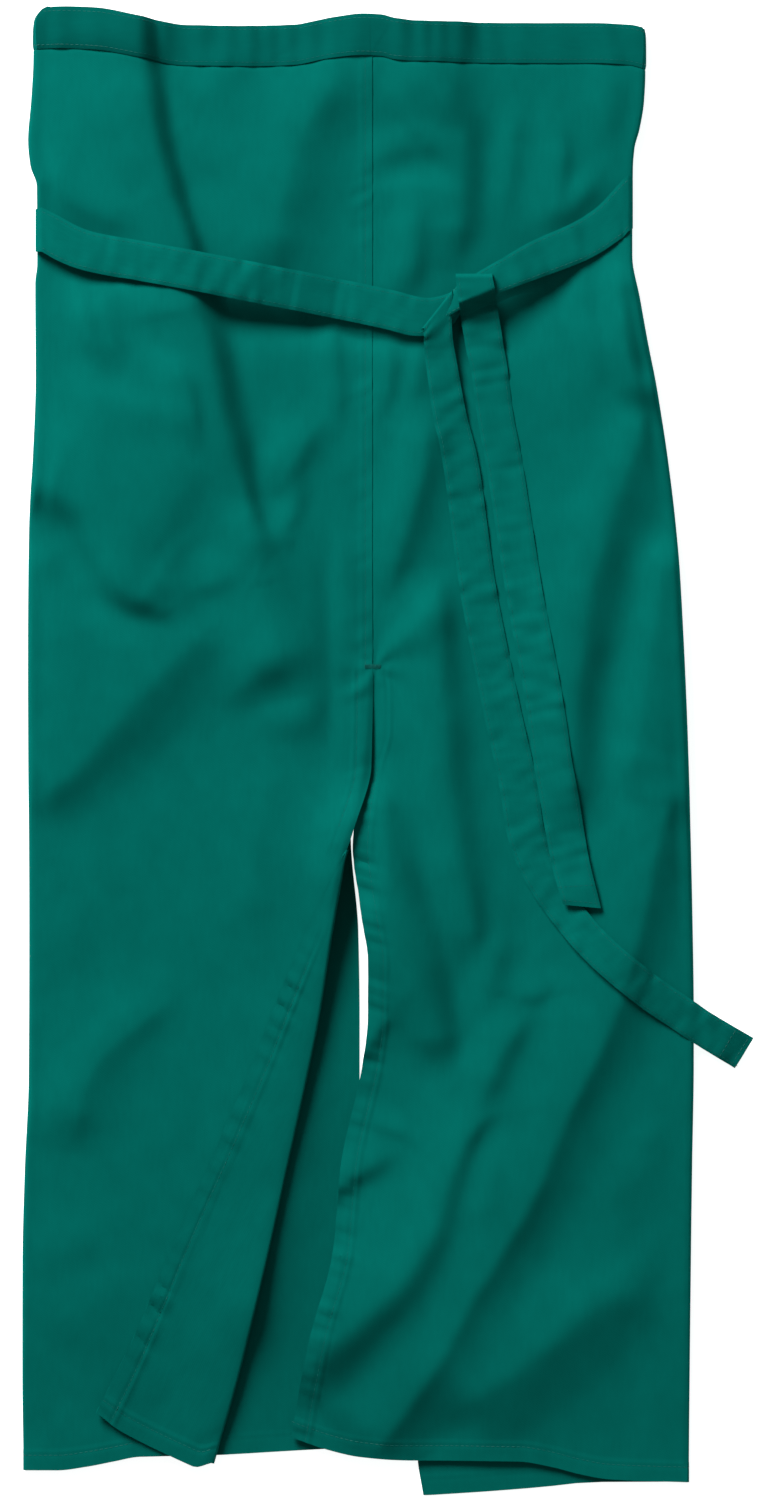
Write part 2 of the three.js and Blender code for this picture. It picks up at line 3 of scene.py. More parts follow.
import bpy
import numpy as np
from bpy.props import FloatProperty, FloatVectorProperty, PointerProperty
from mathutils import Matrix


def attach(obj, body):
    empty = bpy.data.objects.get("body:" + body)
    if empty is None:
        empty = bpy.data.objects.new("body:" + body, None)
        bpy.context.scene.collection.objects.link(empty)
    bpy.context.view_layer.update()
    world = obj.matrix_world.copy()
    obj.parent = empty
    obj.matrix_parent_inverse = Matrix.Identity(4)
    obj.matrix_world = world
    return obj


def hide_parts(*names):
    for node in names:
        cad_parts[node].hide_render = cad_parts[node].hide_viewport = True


bl_info = {
    "name": "Split-leg apron",
    "version": (1, 0, 0),
    "blender": (4, 5, 0),
    "location": "View3D > Sidebar > Apron",
    "description": "Builds a lying split-leg apron with its folds, hems, stitches and knotted ties",
    "category": "Object",
}

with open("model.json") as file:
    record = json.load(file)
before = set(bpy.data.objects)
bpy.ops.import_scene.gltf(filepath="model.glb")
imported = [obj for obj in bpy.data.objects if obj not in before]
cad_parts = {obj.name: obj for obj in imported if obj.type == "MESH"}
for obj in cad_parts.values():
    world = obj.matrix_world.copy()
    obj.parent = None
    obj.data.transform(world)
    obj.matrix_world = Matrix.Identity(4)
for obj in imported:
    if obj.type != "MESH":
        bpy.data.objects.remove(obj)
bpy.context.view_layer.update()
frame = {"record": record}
SLOT_COLOURS = {row["slot"]: tuple(row["base_color"]) for row in frame["record"]["materials"]}

RED_SHARE = 0.2
# Painted shade: how much darker the cloth's inside face is drawn, where the wings and the turned-back flap
# show it
INSIDE_PAINTED_SHADE = -0.05


def deep(colour):
    """A slot's colour with less red, as the dyed cloth shows it."""
    return (colour[0] * RED_SHARE, colour[1], colour[2])


# Sizes are in millimetres, and become metres where a mesh is made
MM = 0.001

# Resting heights above the floor
FRONT_HEIGHT = 8.9
WING_HEIGHT = 0.6
WING_BAND_HEIGHT = 1.15

# Wings: lift over the ties at the waist, drop of the top edge, loose ripples and the bulge beside the left
# leg's crease
WING_LIFT = 2.6
WING_LIFT_RANGE = (225, 285)
WING_FALL_RANGE = (372, 420)
WING_DROP = 2.0
WING_SPREAD = 1.6
WING_RIPPLE = 0.5
WING_RIPPLE_RUN = (31, 57)
WING_LOOSE_X = (8, 40)
WING_LOOSE_Y = (225, 150)
WING_BULGE = 5.6
WING_BULGE_WIDTH = 17
WING_BULGE_AT_HEM = 0.25
WING_BULGE_RANGE = (-150, -260)

# Rounded sides: how flat their half circle is, and how far in the front's own height takes over
SIDE_SQUEEZE = 0.45
SIDE_BLEND = 12

# Top of the cloth, tucked under the waistband, and the waistband
TOP_TUCK = 6.0
TOP_TUCK_DEPTH = 1.15
TOP_TUCK_RAMP = (-0.7, 1.0)
TOP_FOLLOW = 0.6
BAND_PROUD = 0.35
BAND_RIPPLE = 1.5
BAND_RIPPLE_LOW = 0.55
BAND_CRINKLE = 1.6
BAND_CRINKLE_LINE = 5
BAND_EDGE_THIN = 0.45
BAND_STITCH_INSET = 2.4

# Hems: droop of the fronts, step of the doubled cloth and its slope, and the groove at the stitches
HEM_DROOP = 4.8
HEM_DROOP_RANGE = (-456, -325)
HEM_STEP = 0.7
HEM_SLOPE = 2.5
HEM_FILL = 0.9
HEM_GROOVE = 0.45
HEM_GROOVE_WIDTH = 1.1
STITCH_INSET = 1.6

# Centre seam, and the split below it
SEAM_X = -9.75
SEAM_WIDTH = 6.0
SEAM_TUCK = 1.5
SEAM_TUCK_RISE = 15
SEAM_REACH = 3
SEAM_RAISE = 0.1
SEAM_DIP = 0.4
SEAM_DIP_RANGE = (0.5, 3.0)
SPLIT_TOP = 52.8
SPLIT_BLEND = (SPLIT_TOP - 4, SPLIT_TOP + 2)
UNDERLAP_DIP = 5.5
UNDERLAP_X = (-16, 1)
UNDERLAP_Y = (-112, -70, -14, 58)
RIGHT_EDGE_TOP = SPLIT_TOP - 60
RIGHT_EDGE_CRINKLE = 4.2

# The left leg's rolled crease and turned-back edge
CREASE_BULGE = 1.9
CREASE_RANGE = (-50, -70)
FLAP_TOP = -60
FLAP_EDGE_BLEND = (FLAP_TOP - 6, FLAP_TOP + 4)
FLAP_GROW_RANGE = (FLAP_TOP + 2, FLAP_TOP - 25)
OPEN_EDGE = (FLAP_TOP + 12, SPLIT_TOP - 2)
FLAP_LIFT = 2.7
FLAP_EDGE_LIFT = 1.7
FLAP_CORNER_LIFT = 3.0
FLAP_CORNER_RANGE = (-380, -444)
FLAP_CORNER_SHARE = 0.5
FLAP_BOW_RANGE = (-360, -444)
FLAP_NARROW = (12, 26)
FLAP_START_SHARE = 0.45
FLAP_STITCH_LEAST = 20
FLAP_CRINKLE = 3.2

# Ties, and the knot that holds them up
TIE_CLEARANCE = 0.2
TIE_PUCKER = 1.25
TIE_FLOOR_GAP = 0.02
TIE_BRIDGE_FALL = 0.0013
TIE_LEAN_REACH = 1.1
TIE_SAG_RANGE = (5, 30)
TIE_FOLD_FADE = (0.5, 9)
TIE_ROLL_SQUEEZE = 0.5
TIE_EDGE_THIN = 0.6
TIE_STITCH_INSET = 2.2
TIE_END_STITCHES = (3.0, 13.0)
TIE_END_INSET = 0.6
TIE_RUN_LEAST = 6
KNOT_CENTRE = (50, 280)
KNOT_REACH = (30, 80)
KNOT_REST = 9.7

# Power of the share from middle to edge by which the band and the ties thin
EDGE_POWER = 8

# Small ripples round the tack at the top of the split
TACK_SHIFT = 2
TACK_REACH = 9
TACK_HEIGHT = 0.55
TACK_RAYS = 6
TACK_TURN = 0.6
TACK_HALF = 5
TACK_POINTS = 12
TACK_PROUD = 1.25
TACK_STITCH = (3.0, 0.7)

# Stitches: share of the pitch that thread fills, depth in the cloth, and the spindle's rings as rows of
# place along it and share of the thread's radius
STITCH_FILL = 0.78
STITCH_SINK = 0.05
STITCH_RINGS = [(-0.5, 0.35), (-0.28, 1.0), (0.28, 1.0), (0.5, 0.35)]

# Mesh steps and counts
WING_COLUMNS = 14
SIDE_COLUMNS = 9
CLOTH_STEP = 2.6
EDGE_STEP = 1.2
EDGE_BAND = 15
ROLL_COLUMNS = 6
BAND_ROWS = 14
TIE_STEP = 2.0
TIE_END_STEP = 0.6
TIE_END = 3.0
TIE_BEND = 48.0
TIE_COLUMNS = 14
TIE_ROLL_ROWS = 5
TIE_PATH_STEPS = 24
FOLD_STEPS = 6
SHARP_DEGREES = 38
CLOTH_LENGTH = 885
TOP_FINE = 7
FLAP_LENGTH = 80
FLAP_STEP = 1.2 * CLOTH_STEP

# Heights where a column's place is read to find its hem and its top
HEM_LEVEL = -440.0
BAND_LEVEL = 430.0

# Outer sides, inner edges of the fronts and inner edges of the wings: rows of y, x
LEFT_SIDE = [
    (465, -213.5), (462.5, -217.8), (457.5, -220.8), (450, -221.6), (432, -221.8), (407.5, -223.1),
    (382.5, -225), (367, -223.6), (354, -219.5), (305, -219.4), (294, -220.6), (232.8, -220.3),
    (185, -221.9), (137.8, -224.6), (52.8, -225.1), (-112, -224.4), (-204, -224.7), (-261, -227.2),
    (-317, -228.6), (-392, -228.8), (-444, -228.2),
]
RIGHT_SIDE = [
    (465, 160), (437.5, 161), (425, 161), (407.5, 160.2), (390, 157.4), (378, 154.2), (365, 153.2),
    (310, 152.8), (282.5, 157.6), (257.5, 162.1), (232.5, 167.1), (182.5, 175.2), (132.5, 180.9),
    (82.5, 184.1), (15, 187.2), (-40, 188.9), (-106, 190.5), (-165, 191.3), (-193, 191.3),
    (-257.8, 190.3), (-311.6, 189.6), (-441.6, 188.4), (-465, 188.3),
]
LEFT_INNER = [
    (465, -9.75), (52.8, -9.75), (-7.8, -10.6), (-55.9, -23.75), (-112.2, -34.4), (-164, -42.5),
    (-204, -50.6), (-261, -63.1), (-317, -75.5), (-392, -93.75), (-444, -108.75),
]
RIGHT_INNER = [
    (465, -9.75), (15, -9.75), (-10, -15.5), (-40, -20.5), (-59, -21.9), (-85, -18.75), (-106, -15.6),
    (-130, -12.2), (-165, -12.4), (-193, -15.6), (-257.8, -29.4), (-311.6, -34.4), (-365.3, -48.8),
    (-441.6, -63.1),
]
LEFT_WING = [
    (465, -26), (137.8, -26), (52.8, -25), (-7.8, -24), (-55.9, -23.2), (-112.2, -18.6), (-164, -17.8),
    (-444, -18),
]
RIGHT_WING = [
    (465, -5), (132.5, -5), (52.8, -4), (-40, 0), (-85, 1), (-130, 4), (-193, 7), (-257.8, 10),
    (-311.6, 13), (-441.6, 18.5), (-465, 22.1),
]

# Top edge of the waistband and hems of fronts and wings: rows of x, y
TOP_EDGE = [
    (-220, 464.4), (-208.8, 464.7), (-184.4, 463.4), (-150.6, 457.5), (-126, 454), (-90, 453.4),
    (-59.4, 454), (-35, 458.1), (-16.6, 459.7), (-4.4, 459), (5, 456.6), (16.9, 455.6), (123.8, 455.6),
    (151.3, 454.4), (160, 452.2),
]
LEFT_FRONT_HEM = [
    (-228.4, -449), (-206.6, -449), (-188.8, -446.9), (-170.6, -443.4), (-156.3, -440.6), (-135, -439.7),
    (-108.8, -444),
]
LEFT_WING_HEM = [(-228.4, -449), (-180, -442), (-106.9, -439.7), (-38.1, -436), (-18, -435)]
RIGHT_FRONT_HEM = [
    (-63.1, -427.8), (-52.5, -431.6), (-38.1, -436), (-16.9, -440.3), (18.8, -442.8), (81.3, -443.4),
    (102.5, -446.9), (120.6, -451.6), (138.8, -454.7), (188.8, -456.6),
]
RIGHT_WING_HEM = [(22.1, -465), (58, -462.8), (93.8, -460), (129.7, -456.8), (188.8, -456.6)]

# The left leg's turned-back edge: height of the crease point, then where its free edge lies
FLAP_FREE_X = [
    (-63, -28.4), (-112.2, -49.1), (-164, -69), (-204, -83.6), (-261, -106.1), (-326, -132.9),
    (-392, -158.9), (-444, -182.5),
]
FLAP_FREE_Y = [
    (-63, -64.4), (-112.2, -106.1), (-164, -153.7), (-204, -191), (-261, -243.7), (-326, -303.5),
    (-392, -365), (-444, -412.8),
]
FLAP_BOW = [(0, 0), (0.16, 7), (0.5, 6.4), (0.77, 4.7), (1, 0)]

# Folds of the fronts: name, height, width of the slow side, width of the steep side, power of the steep
# side (2 a bell, less for a sharp crest, more for a sharp foot) and the line that the steep side follows,
# in rows of x, y and size. The size scales height and widths together. The high side lies to the right
# of the travel.
FOLDS = [
    ("bib left", 9.4, 52, 12.5, 3.4, [
        (-155, 500, 0.6), (-149, 450, 0.75), (-144, 412, 1.15), (-139, 385, 1.15), (-131, 352, 1.05),
        (-120, 318, 0.95), (-108, 280, 0.9),
    ]),
    ("bib left edge", 3.4, 16, 9, 2, [
        (-150, 321, 0.6), (-176, 328, 1), (-193, 337, 1.1), (-209, 352, 1), (-224, 380, 0.7),
    ]),
    ("bib left top", 2.0, 16, 13, 2, [(-132, 430, 1), (-165, 435, 1), (-196, 437, 1), (-224, 438, 1)]),
    ("bib hollow", 1.8, 18, 16, 2, [(-78, 428, 1), (-98, 412, 1.1), (-116, 396, 1)]),
    ("bib middle", 6.0, 30, 20, 1.6, [
        (-14, 432, 0.7), (-30, 408, 0.9), (-42, 385, 1.1), (-50, 355, 1.2), (-58, 322, 1.1),
        (-62, 292, 0.9),
    ]),
    ("bib arch", 2.4, 12, 9, 2, [
        (44, 362, 0.7), (30, 371, 1), (14, 374, 1.1), (-2, 369, 1), (-14, 358, 0.7),
    ]),
    ("bib arch light", 1.6, 9, 20, 2, [(40, 334, 1), (18, 338, 1), (-6, 334, 1)]),
    ("bib right", 5.6, 26, 13, 2, [
        (-8, 500, 1.5), (18, 452, 1.6), (34, 430, 1.7), (48, 408, 1.3), (55, 388, 1), (52, 350, 0.95),
        (50, 300, 0.9),
    ]),
    ("bib slant light", 1.4, 6, 12, 2, [(2, 438, 0.8), (14, 410, 1), (32, 388, 1), (52, 366, 0.8)]),
    ("bib short", 3.2, 14, 9, 2, [(22, 356, 0.7), (22, 330, 1), (20, 305, 1.1), (14, 276, 0.9)]),
    ("bib second right", 1.6, 12, 8, 2, [(86, 412, 0.8), (82, 370, 1), (75, 322, 0.9)]),
    ("bib third right", 2.4, 13, 7, 2, [(110, 400, 0.8), (111, 362, 1), (106, 326, 0.9)]),
    ("bib right edge", 2.4, 10, 9, 2, [(140, 362, 0.8), (126, 345, 1), (114, 333, 1), (98, 322, 0.7)]),
    ("bib corner", 1.4, 12, 8, 2, [(142, 440, 1), (146, 410, 1), (142, 376, 0.8)]),
    ("left strap press", -1.4, 15, 15, 2, [
        (-225, 325, 1), (-190, 313, 1), (-83, 293, 1), (-29, 283, 1), (25, 271, 1),
    ]),
    ("right strap press", -1.4, 13, 13, 2, [(160, 340, 1), (126, 323, 1), (99, 311, 1), (76, 294, 1)]),
    ("bib centre drop", 3.0, 60, 28, 2, [(56, 388, 0.6), (36, 392, 1), (14, 400, 1), (-8, 410, 0.7)]),
    ("bib mid drop", 2.6, 50, 28, 2, [(-66, 374, 0.6), (-84, 368, 1), (-106, 360, 1), (-126, 352, 0.6)]),
    ("left strap hollow", -5.0, 11, 16, 2, [
        (40, 244, 0.5), (-10, 254, 0.4), (-50, 260, 0.8), (-92, 267, 1.2), (-122, 275, 0.9),
    ]),
    ("left strap far hollow", -2.0, 7, 9, 2, [(-130, 288, 1), (-160, 293, 1), (-196, 302, 0.9)]),
    ("right strap hollow", -5.2, 15, 24, 2, [
        (140, 296, 0.5), (116, 281, 0.8), (92, 270, 1), (66, 258, 1.05), (34, 246, 0.8),
    ]),
    ("below left strap", 10.0, 46, 13, 2.6, [
        (-118, 306, 1), (-110, 272, 1.05), (-102, 240, 1.1), (-95, 208, 1.05), (-88, 175, 0.85),
        (-80, 146, 0.6), (-70, 122, 0.5),
    ]),
    ("short slant", 4.2, 20, 10, 1.6, [
        (-32, 212, 0.6), (-42, 198, 1), (-52, 181, 1.1), (-62, 166, 1), (-74, 154, 0.6),
    ]),
    ("small drop", 1.6, 8, 6, 2, [(-52, 172, 0.8), (-55, 155, 1), (-60, 136, 0.8)]),
    ("middle drop", 7.2, 24, 23, 2, [
        (-68, 160, 0.7), (-65, 130, 1), (-60, 98, 1.1), (-53, 66, 1.15), (-47, 36, 1),
    ]),
    ("middle left", 2.0, 10, 6, 2, [(-33, 284, 1), (-30, 246, 1), (-28, 196, 0.8)]),
    ("middle right", 2.6, 11, 8, 2, [(4, 264, 0.9), (5, 240, 1), (3, 206, 0.8)]),
    ("tail side", 1.5, 8, 6, 2, [(24, 262, 0.8), (23, 236, 1), (20, 212, 0.8)]),
    ("under knot", 5.6, 20, 12, 1.6, [
        (28, 222, 0.7), (29, 195, 1), (27, 172, 1.1), (19, 145, 1), (12, 122, 0.9), (5, 92, 0.6),
    ]),
    ("below tack", 3.2, 9, 14, 2, [(44, 98, 0.8), (32, 80, 1), (18, 64, 1), (4, 50, 0.8)]),
    ("hip hook", 3.2, 14, 6, 2, [
        (-150, 255, 0.7), (-139, 249, 1), (-128, 238, 1.1), (-121, 220, 1), (-114, 184, 0.7),
    ]),
    ("hip first line", 3.2, 13, 6, 2, [
        (-193, 300, 0.5), (-188, 281, 1), (-181, 258, 0.9), (-173, 238, 0.5),
    ]),
    ("hip second line", 3.0, 14, 8, 2, [(-178, 294, 1), (-170, 262, 1), (-161, 236, 0.8)]),
    ("hip swell", 1.9, 14, 15, 2, [(-132, 194, 0.8), (-150, 202, 1), (-172, 206, 1), (-200, 210, 0.8)]),
    ("right under strap", 3.2, 12, 8, 2, [
        (124, 316, 0.7), (128, 290, 1), (132, 262, 1), (140, 228, 0.8),
    ]),
    ("right edge pocket", 11.0, 18, 6, 3, [
        (151, 318, 0.5), (153, 290, 0.8), (157, 262, 1.1), (163, 234, 1), (171, 206, 0.5),
    ]),
    ("right waist", 2.0, 30, 18, 2, [(118, 260, 1), (125, 215, 1.1), (138, 170, 1)]),
    ("right hip", 8.0, 34, 17, 1.7, [
        (168, 228, 0.3), (163, 200, 0.6), (156, 170, 0.9), (147, 138, 1.1), (139, 110, 1.1),
        (133, 82, 1.1), (128, 52, 1), (124.5, 20, 0.9), (121, -20, 0.7), (119, -50, 0.4),
    ]),
    ("right hip ridge", 7.4, 60, 15, 2, [
        (143, -30, 0.6), (147, 0, 0.9), (151, 36, 1), (157, 72, 1.05), (164, 106, 1.1), (172, 130, 1.1),
        (186, 142, 1),
    ]),
    ("left hip", 10.0, 60, 14.5, 2.6, [
        (-128, 81, 0.4), (-146, 86, 0.7), (-165, 94, 1), (-177, 106, 1.2), (-186, 124, 1.2),
        (-197, 144, 1.2), (-214, 156, 1.1), (-240, 166, 1),
    ]),
    ("left hip light", 3.0, 34, 13, 2, [
        (-236, 132, 0.9), (-212, 124, 1), (-204, 104, 1), (-192, 84, 1), (-170, 74, 0.8),
    ]),
    ("thigh pinch", 2.6, 22, 10, 2, [(-86, 106, 0.7), (-98, 105, 1), (-112, 100, 1), (-128, 92, 0.6)]),
    ("thigh crease", 1.2, 5, 5, 2, [(-142, 120, 0.8), (-132, 106, 1), (-120, 92, 1), (-110, 84, 0.7)]),
    ("left thigh", 6.7, 60, 20, 1.8, [
        (-94, 88, 0.7), (-103, 74, 0.9), (-118, 56, 1.1), (-136, 36, 1.2), (-154, 16, 1.2), (-176, -6, 1),
        (-206, -32, 0.8), (-226, -46, 0.6),
    ]),
    ("left arch", 2.2, 24, 11, 2, [
        (-46, 40, 0.7), (-60, 45, 1), (-74, 46, 1.1), (-88, 38, 1), (-102, 24, 0.7),
    ]),
    ("left arch bulge", 3.4, 16, 14, 2, [
        (-44, 62, 0.7), (-42, 38, 0.9), (-46, 22, 1), (-58, 10, 1), (-74, 2, 0.8),
    ]),
    ("left inner light", 2.2, 22, 26, 2, [(-58, 4, 0.8), (-60, -30, 1), (-66, -70, 1), (-80, -120, 0.8)]),
    ("seam side", 1.4, 18, 10, 2, [
        (-44, 140, 0.6), (-42, 100, 0.8), (-39, 60, 1), (-36, 20, 1), (-38, -10, 0.8),
    ]),
    ("seam ridge", 1.8, 7, 12, 2, [(-19, 150, 0.8), (-20, 100, 1), (-19, 40, 1), (-20, -8, 0.9)]),
    ("split side", 12.0, 34, 23, 2.6, [
        (-12, -8, 0.6), (-3, -26, 0.9), (6, -50, 1.05), (15, -75, 1.1), (22, -98, 1.1), (29, -122, 1.1),
        (35, -145, 0.95), (39, -168, 0.75), (42, -186, 0.45), (44, -204, 0.15),
    ]),
    ("split side light", 2.0, 26, 9, 2, [
        (50, -184, 0.8), (45, -150, 1), (38, -118, 1), (29, -84, 1), (18, -50, 0.8),
    ]),
    ("right thigh", 6.4, 30, 13, 2, [
        (36, 116, 0.7), (39, 70, 0.9), (41, 30, 1), (44, -12, 1), (49, -46, 1), (55, -80, 0.9),
        (57, -112, 0.7), (56, -140, 0.4),
    ]),
    ("right knee", 3.0, 14, 10, 2, [(79, -100, 0.7), (75, -122, 1), (66, -152, 0.9), (60, -172, 0.7)]),
    ("knee mark", 1.6, 12, 6, 2, [(102, -151, 0.7), (88, -154, 1), (74, -152, 0.7)]),
    ("inner fold start", 4.8, 24, 10, 2, [
        (96, -156, 0.7), (87, -170, 1), (79, -184, 1.1), (71, -202, 1.1), (60, -228, 0.8),
    ]),
    ("right inner fold", 5.6, 34, 11, 2, [
        (80, -226, 0.4), (70, -228, 0.6), (60, -233, 0.8), (52, -244, 0.9), (46, -260, 0.95),
        (41, -282, 1), (34, -303, 1.15), (24, -322, 1.35), (11, -341, 1.55), (-4, -357, 1.7),
        (-22, -374, 1.8), (-44, -390, 1.7), (-70, -404, 1.5),
    ]),
    ("inner fold side", 1.4, 10, 8, 2, [(74, -240, 0.7), (70, -262, 1), (66, -282, 1), (54, -302, 0.7)]),
    ("right long fold", 7.6, 52, 15, 1.3, [
        (190, -6, 0.8), (182, -30, 0.9), (173, -58, 1), (166, -88, 1), (160, -116, 0.95),
        (152, -150, 0.95), (141, -176, 1), (129, -204, 1.1), (117, -230, 1.15), (106, -257, 1.2),
        (93, -284, 1.2), (78, -310, 1.15), (63, -335, 1.1), (49, -358, 1.05), (36, -381, 1),
        (23, -402, 0.95), (4, -428, 0.85), (-14, -452, 0.8),
    ]),
    ("right hem fold", 7.2, 36, 26, 1.6, [
        (176, -330, 0.6), (152, -346, 0.8), (124, -369, 1), (98, -391, 1.1), (72, -409, 1.1),
        (40, -428, 0.9),
    ]),
    ("right calf", 1.6, 26, 20, 2, [(182, -220, 0.8), (166, -262, 1), (148, -300, 1), (132, -330, 0.8)]),
    ("split edge high", 2.4, 12, 6, 2, [
        (9, -159, 0.6), (4, -166, 1), (-3, -174, 1), (-11, -186, 1), (-20, -200, 0.8),
    ]),
    ("split edge dent", 1.6, 7, 5, 2, [(16, -246, 0.7), (8, -241, 1), (-2, -237, 1), (-14, -232, 0.7)]),
    ("split edge low", 3.3, 18, 8, 2, [
        (16, -246, 0.7), (6, -253, 1), (-6, -261, 1.1), (-20, -269, 1), (-36, -279, 0.9),
        (-60, -296, 0.8),
    ]),
    ("crease lift", 1.4, 34, 9, 2, [
        (-24, -50, 0.6), (-34, -112, 0.9), (-50, -204, 1), (-64, -265, 1), (-94, -392, 1),
        (-116, -470, 1),
    ]),
    ("split lip", 2.4, 18, 5, 2, [
        (-9, 66, 0.4), (-11, 10, 0.8), (-19, -34, 1), (-28, -70, 0.9), (-36, -104, 0.6),
    ]),
    ("split hem dent", 2.2, 10, 6, 2, [
        (-28, -428, 0.8), (-37, -415, 1), (-46, -403, 1), (-56, -386, 0.8),
    ]),
    ("left leg", 3.2, 26, 11, 1.5, [
        (-126, -152, 0.6), (-138, -162, 0.9), (-152, -173, 1), (-165, -184, 1.1), (-175, -198, 1.3),
        (-184, -222, 1.6), (-192, -252, 1.4),
    ]),
    ("left shin", 1.5, 20, 14, 2, [(-168, -300, 0.9), (-192, -316, 1), (-222, -334, 1)]),
    ("left ankle", 1.8, 24, 26, 2, [(-150, -346, 0.9), (-176, -362, 1), (-210, -376, 1)]),
]
FOLD_REACH = 2.4
FOLD_BLEND = 6
FOLD_BLEND_RANGE = (10, 30)
FOLD_END_SHARE = 0.4
FOLD_END_LENGTH = 30

# Waves, in rows of wavelength, height and number: the cloth's slow undulation and its drift, the wandering
# of fold lines, the puckers along stitches with their stronger patches, and the same on the ties
UNDULATION_SEED = 11
UNDULATION = [(170, 0.6, 6), (75, 0.18, 8), (38, 0.05, 10)]
DRIFT = [(130, 12, 5)]
WANDER = [(70, 0.7, 4), (30, 0.25, 5)]
PUCKER_WAVES = [(15, 0.7, 4), (9.5, 0.7, 5)]
PUCKER_PATCHES = [(70, 1, 3)]
TIE_WAVES = [(22, 0.9, 5), (12, 1.1, 7), (8, 0.6, 6)]
TIE_PATCHES = [(60, 1, 3)]
PUCKER_SKEW = 0.35
PUCKER_WIDTH = 7.5
PUCKER_STEADY = 0.6
TIE_STRENGTH = (0.75, 0.35)
TIE_MIDDLE_SHARE = 0.6
TIE_WAVE_SHIFT = 6
WAVE_STRETCH = (0.7, 1.4)
PUCKER_SEEDS = {"hem": 31, "seam": 41, "split": 43, "right_edge": 47, "flap": 53, "band": 61}
TIE_SEEDS = {"left_tie": 71, "right_tie": 83}

# Upright ripples that only the waistband has: place along x, height, width
BAND_RIPPLES = [
    (-204, 1.0, 7), (-182, 0.9, 8), (-150, 0.9, 6), (-139, 0.8, 4), (-116, 0.9, 6), (-100, 0.6, 4),
    (-86, 0.8, 4), (-74, 0.7, 4), (-62, 0.8, 4), (-48, 0.9, 5), (-34, 0.6, 4), (-18, 1.6, 11), (8, 1.2, 5),
    (22, 0.9, 4), (32, 0.8, 4), (46, 0.8, 5), (64, 0.5, 5), (84, 0.5, 7), (108, 0.4, 8), (136, 0.9, 9),
]

# How much higher the waistband's top edge lies than its lower one: place along x, height
BAND_TILT = [
    (-220, 8.2), (-190, 8.8), (-150, 7.6), (-125, 4), (-60, 3), (-35, 2), (-15, 3), (0, 5.6), (20, 6.8),
    (40, 8), (60, 0.8), (140, 0.8), (160, 5),
]

# Tie stretches. Rows are plan x, y, width as a share of the full width, lift over what lies below; the
# turns are the slants of the folded edges at a stretch's start and end, in degrees from +X.
LEFT_TIE = [
    ("floor", 90, 90, [(15, 311, 1, 0), (-120, 318, 1, 0), (-215.8, 326, 1, 0)]),
    ("strap", 90, 61, [
        (-215.8, 326, 1, 0), (-190, 313.4, 1, 0.3), (-153.1, 305.9, 1, 0.8), (-120, 299.7, 1, 1.8),
        (-100, 296, 1, 2.6), (-75, 291.3, 1, 2.2), (-50, 286.8, 1, 1.3), (-25, 282, 1, 0.7),
        (0, 276.6, 1, 0.7), (20, 272, 0.98, 1.2), (36, 275.6, 0.8, 0.6), (53, 286.5, 0.36, 0),
    ]),
    ("strap", 61, 0, [(53, 286.5, 0.36, 1.9), (53.3, 291, 0.74, 3.6), (53.5, 295.5, 0.92, 5.6)]),
    ("bent", 0, -6, [
        (53.5, 295.5, 0.92, 0), (54.4, 290, 0.94, 0), (55.2, 285, 0.95, 0), (56.4, 277.5, 0.96, 0),
        (57.6, 270, 0.96, 0), (59, 262, 0.96, 0), (60.6, 252, 0.95, 0), (63.2, 240, 0.92, 0),
        (67, 210.3, 0.91, 0), (73.4, 175.3, 0.92, 0), (84.9, 100.9, 0.93, 0), (95.2, 45.3, 0.94, 0),
        (100, 15, 0.95, 0.4), (102.5, -4.7, 0.96, 1), (106.9, -29.1, 0.97, 1.8),
        (113.8, -68.4, 0.95, 2.4), (120.9, -95.9, 0.9, 2.4),
    ]),
]
RIGHT_TIE = [
    ("floor", 90, 90, [(-45, 346, 1, 0), (80, 346, 1, 0), (149.9, 343, 1, 0)]),
    ("strap", 90, 51.7, [
        (149.9, 343, 1, 0), (137, 330, 1, 0.5), (120, 319.2, 1, 1.8), (95, 308.6, 0.95, 4.2),
        (76, 299.5, 0.8, 7), (60, 291.8, 0.68, 8.8), (45, 284, 0.55, 8.2), (31.3, 275.3, 0.46, 6.4),
    ]),
    ("tail", 51.7, 58, [
        (31.3, 275.3, 0.68, 8), (31, 266, 0.7, 7.4), (31.4, 256, 0.74, 5), (33.4, 242, 0.78, 2.4),
        (38.6, 210.3, 0.84, 1.4), (46.2, 175.3, 0.9, 0.8), (56.4, 100.9, 0.92, 0.2),
        (69.8, 32.8, 0.94, 0), (81, -18, 0.96, 0), (86, -50, 0.95, 0), (95, -74.7, 0.9, 0),
        (111.3, -99.7, 0.86, 1.4), (131.9, -123.4, 0.86, 3.6), (160, -147.2, 0.88, 2.6),
        (183, -163, 0.88, 0.6), (197.5, -172.8, 0.88, -1.5), (222.8, -188, 0.9, -6.4),
    ]),
]
TIE_SAG = {"strap": 0.15, "bent": 0.92, "tail": 0.92}

# Where the left tie's tail bends down over the strap's lower edge: a point on that edge, its rise per mm
# along x, how much higher the tail lies above it, and over what distance it falls
BEND_PLACE = (40.2, 277)
BEND_RISE = 0.423
BEND_LIFT = 13.6
BEND_RANGE = (-7, 1.5)

# The sewn join across the left strap: place along x, least y, width and depth
TIE_JOIN_X = -59
TIE_JOIN_ABOVE = 280
TIE_JOIN_WIDTH = 1.3
TIE_JOIN_DEPTH = 0.8
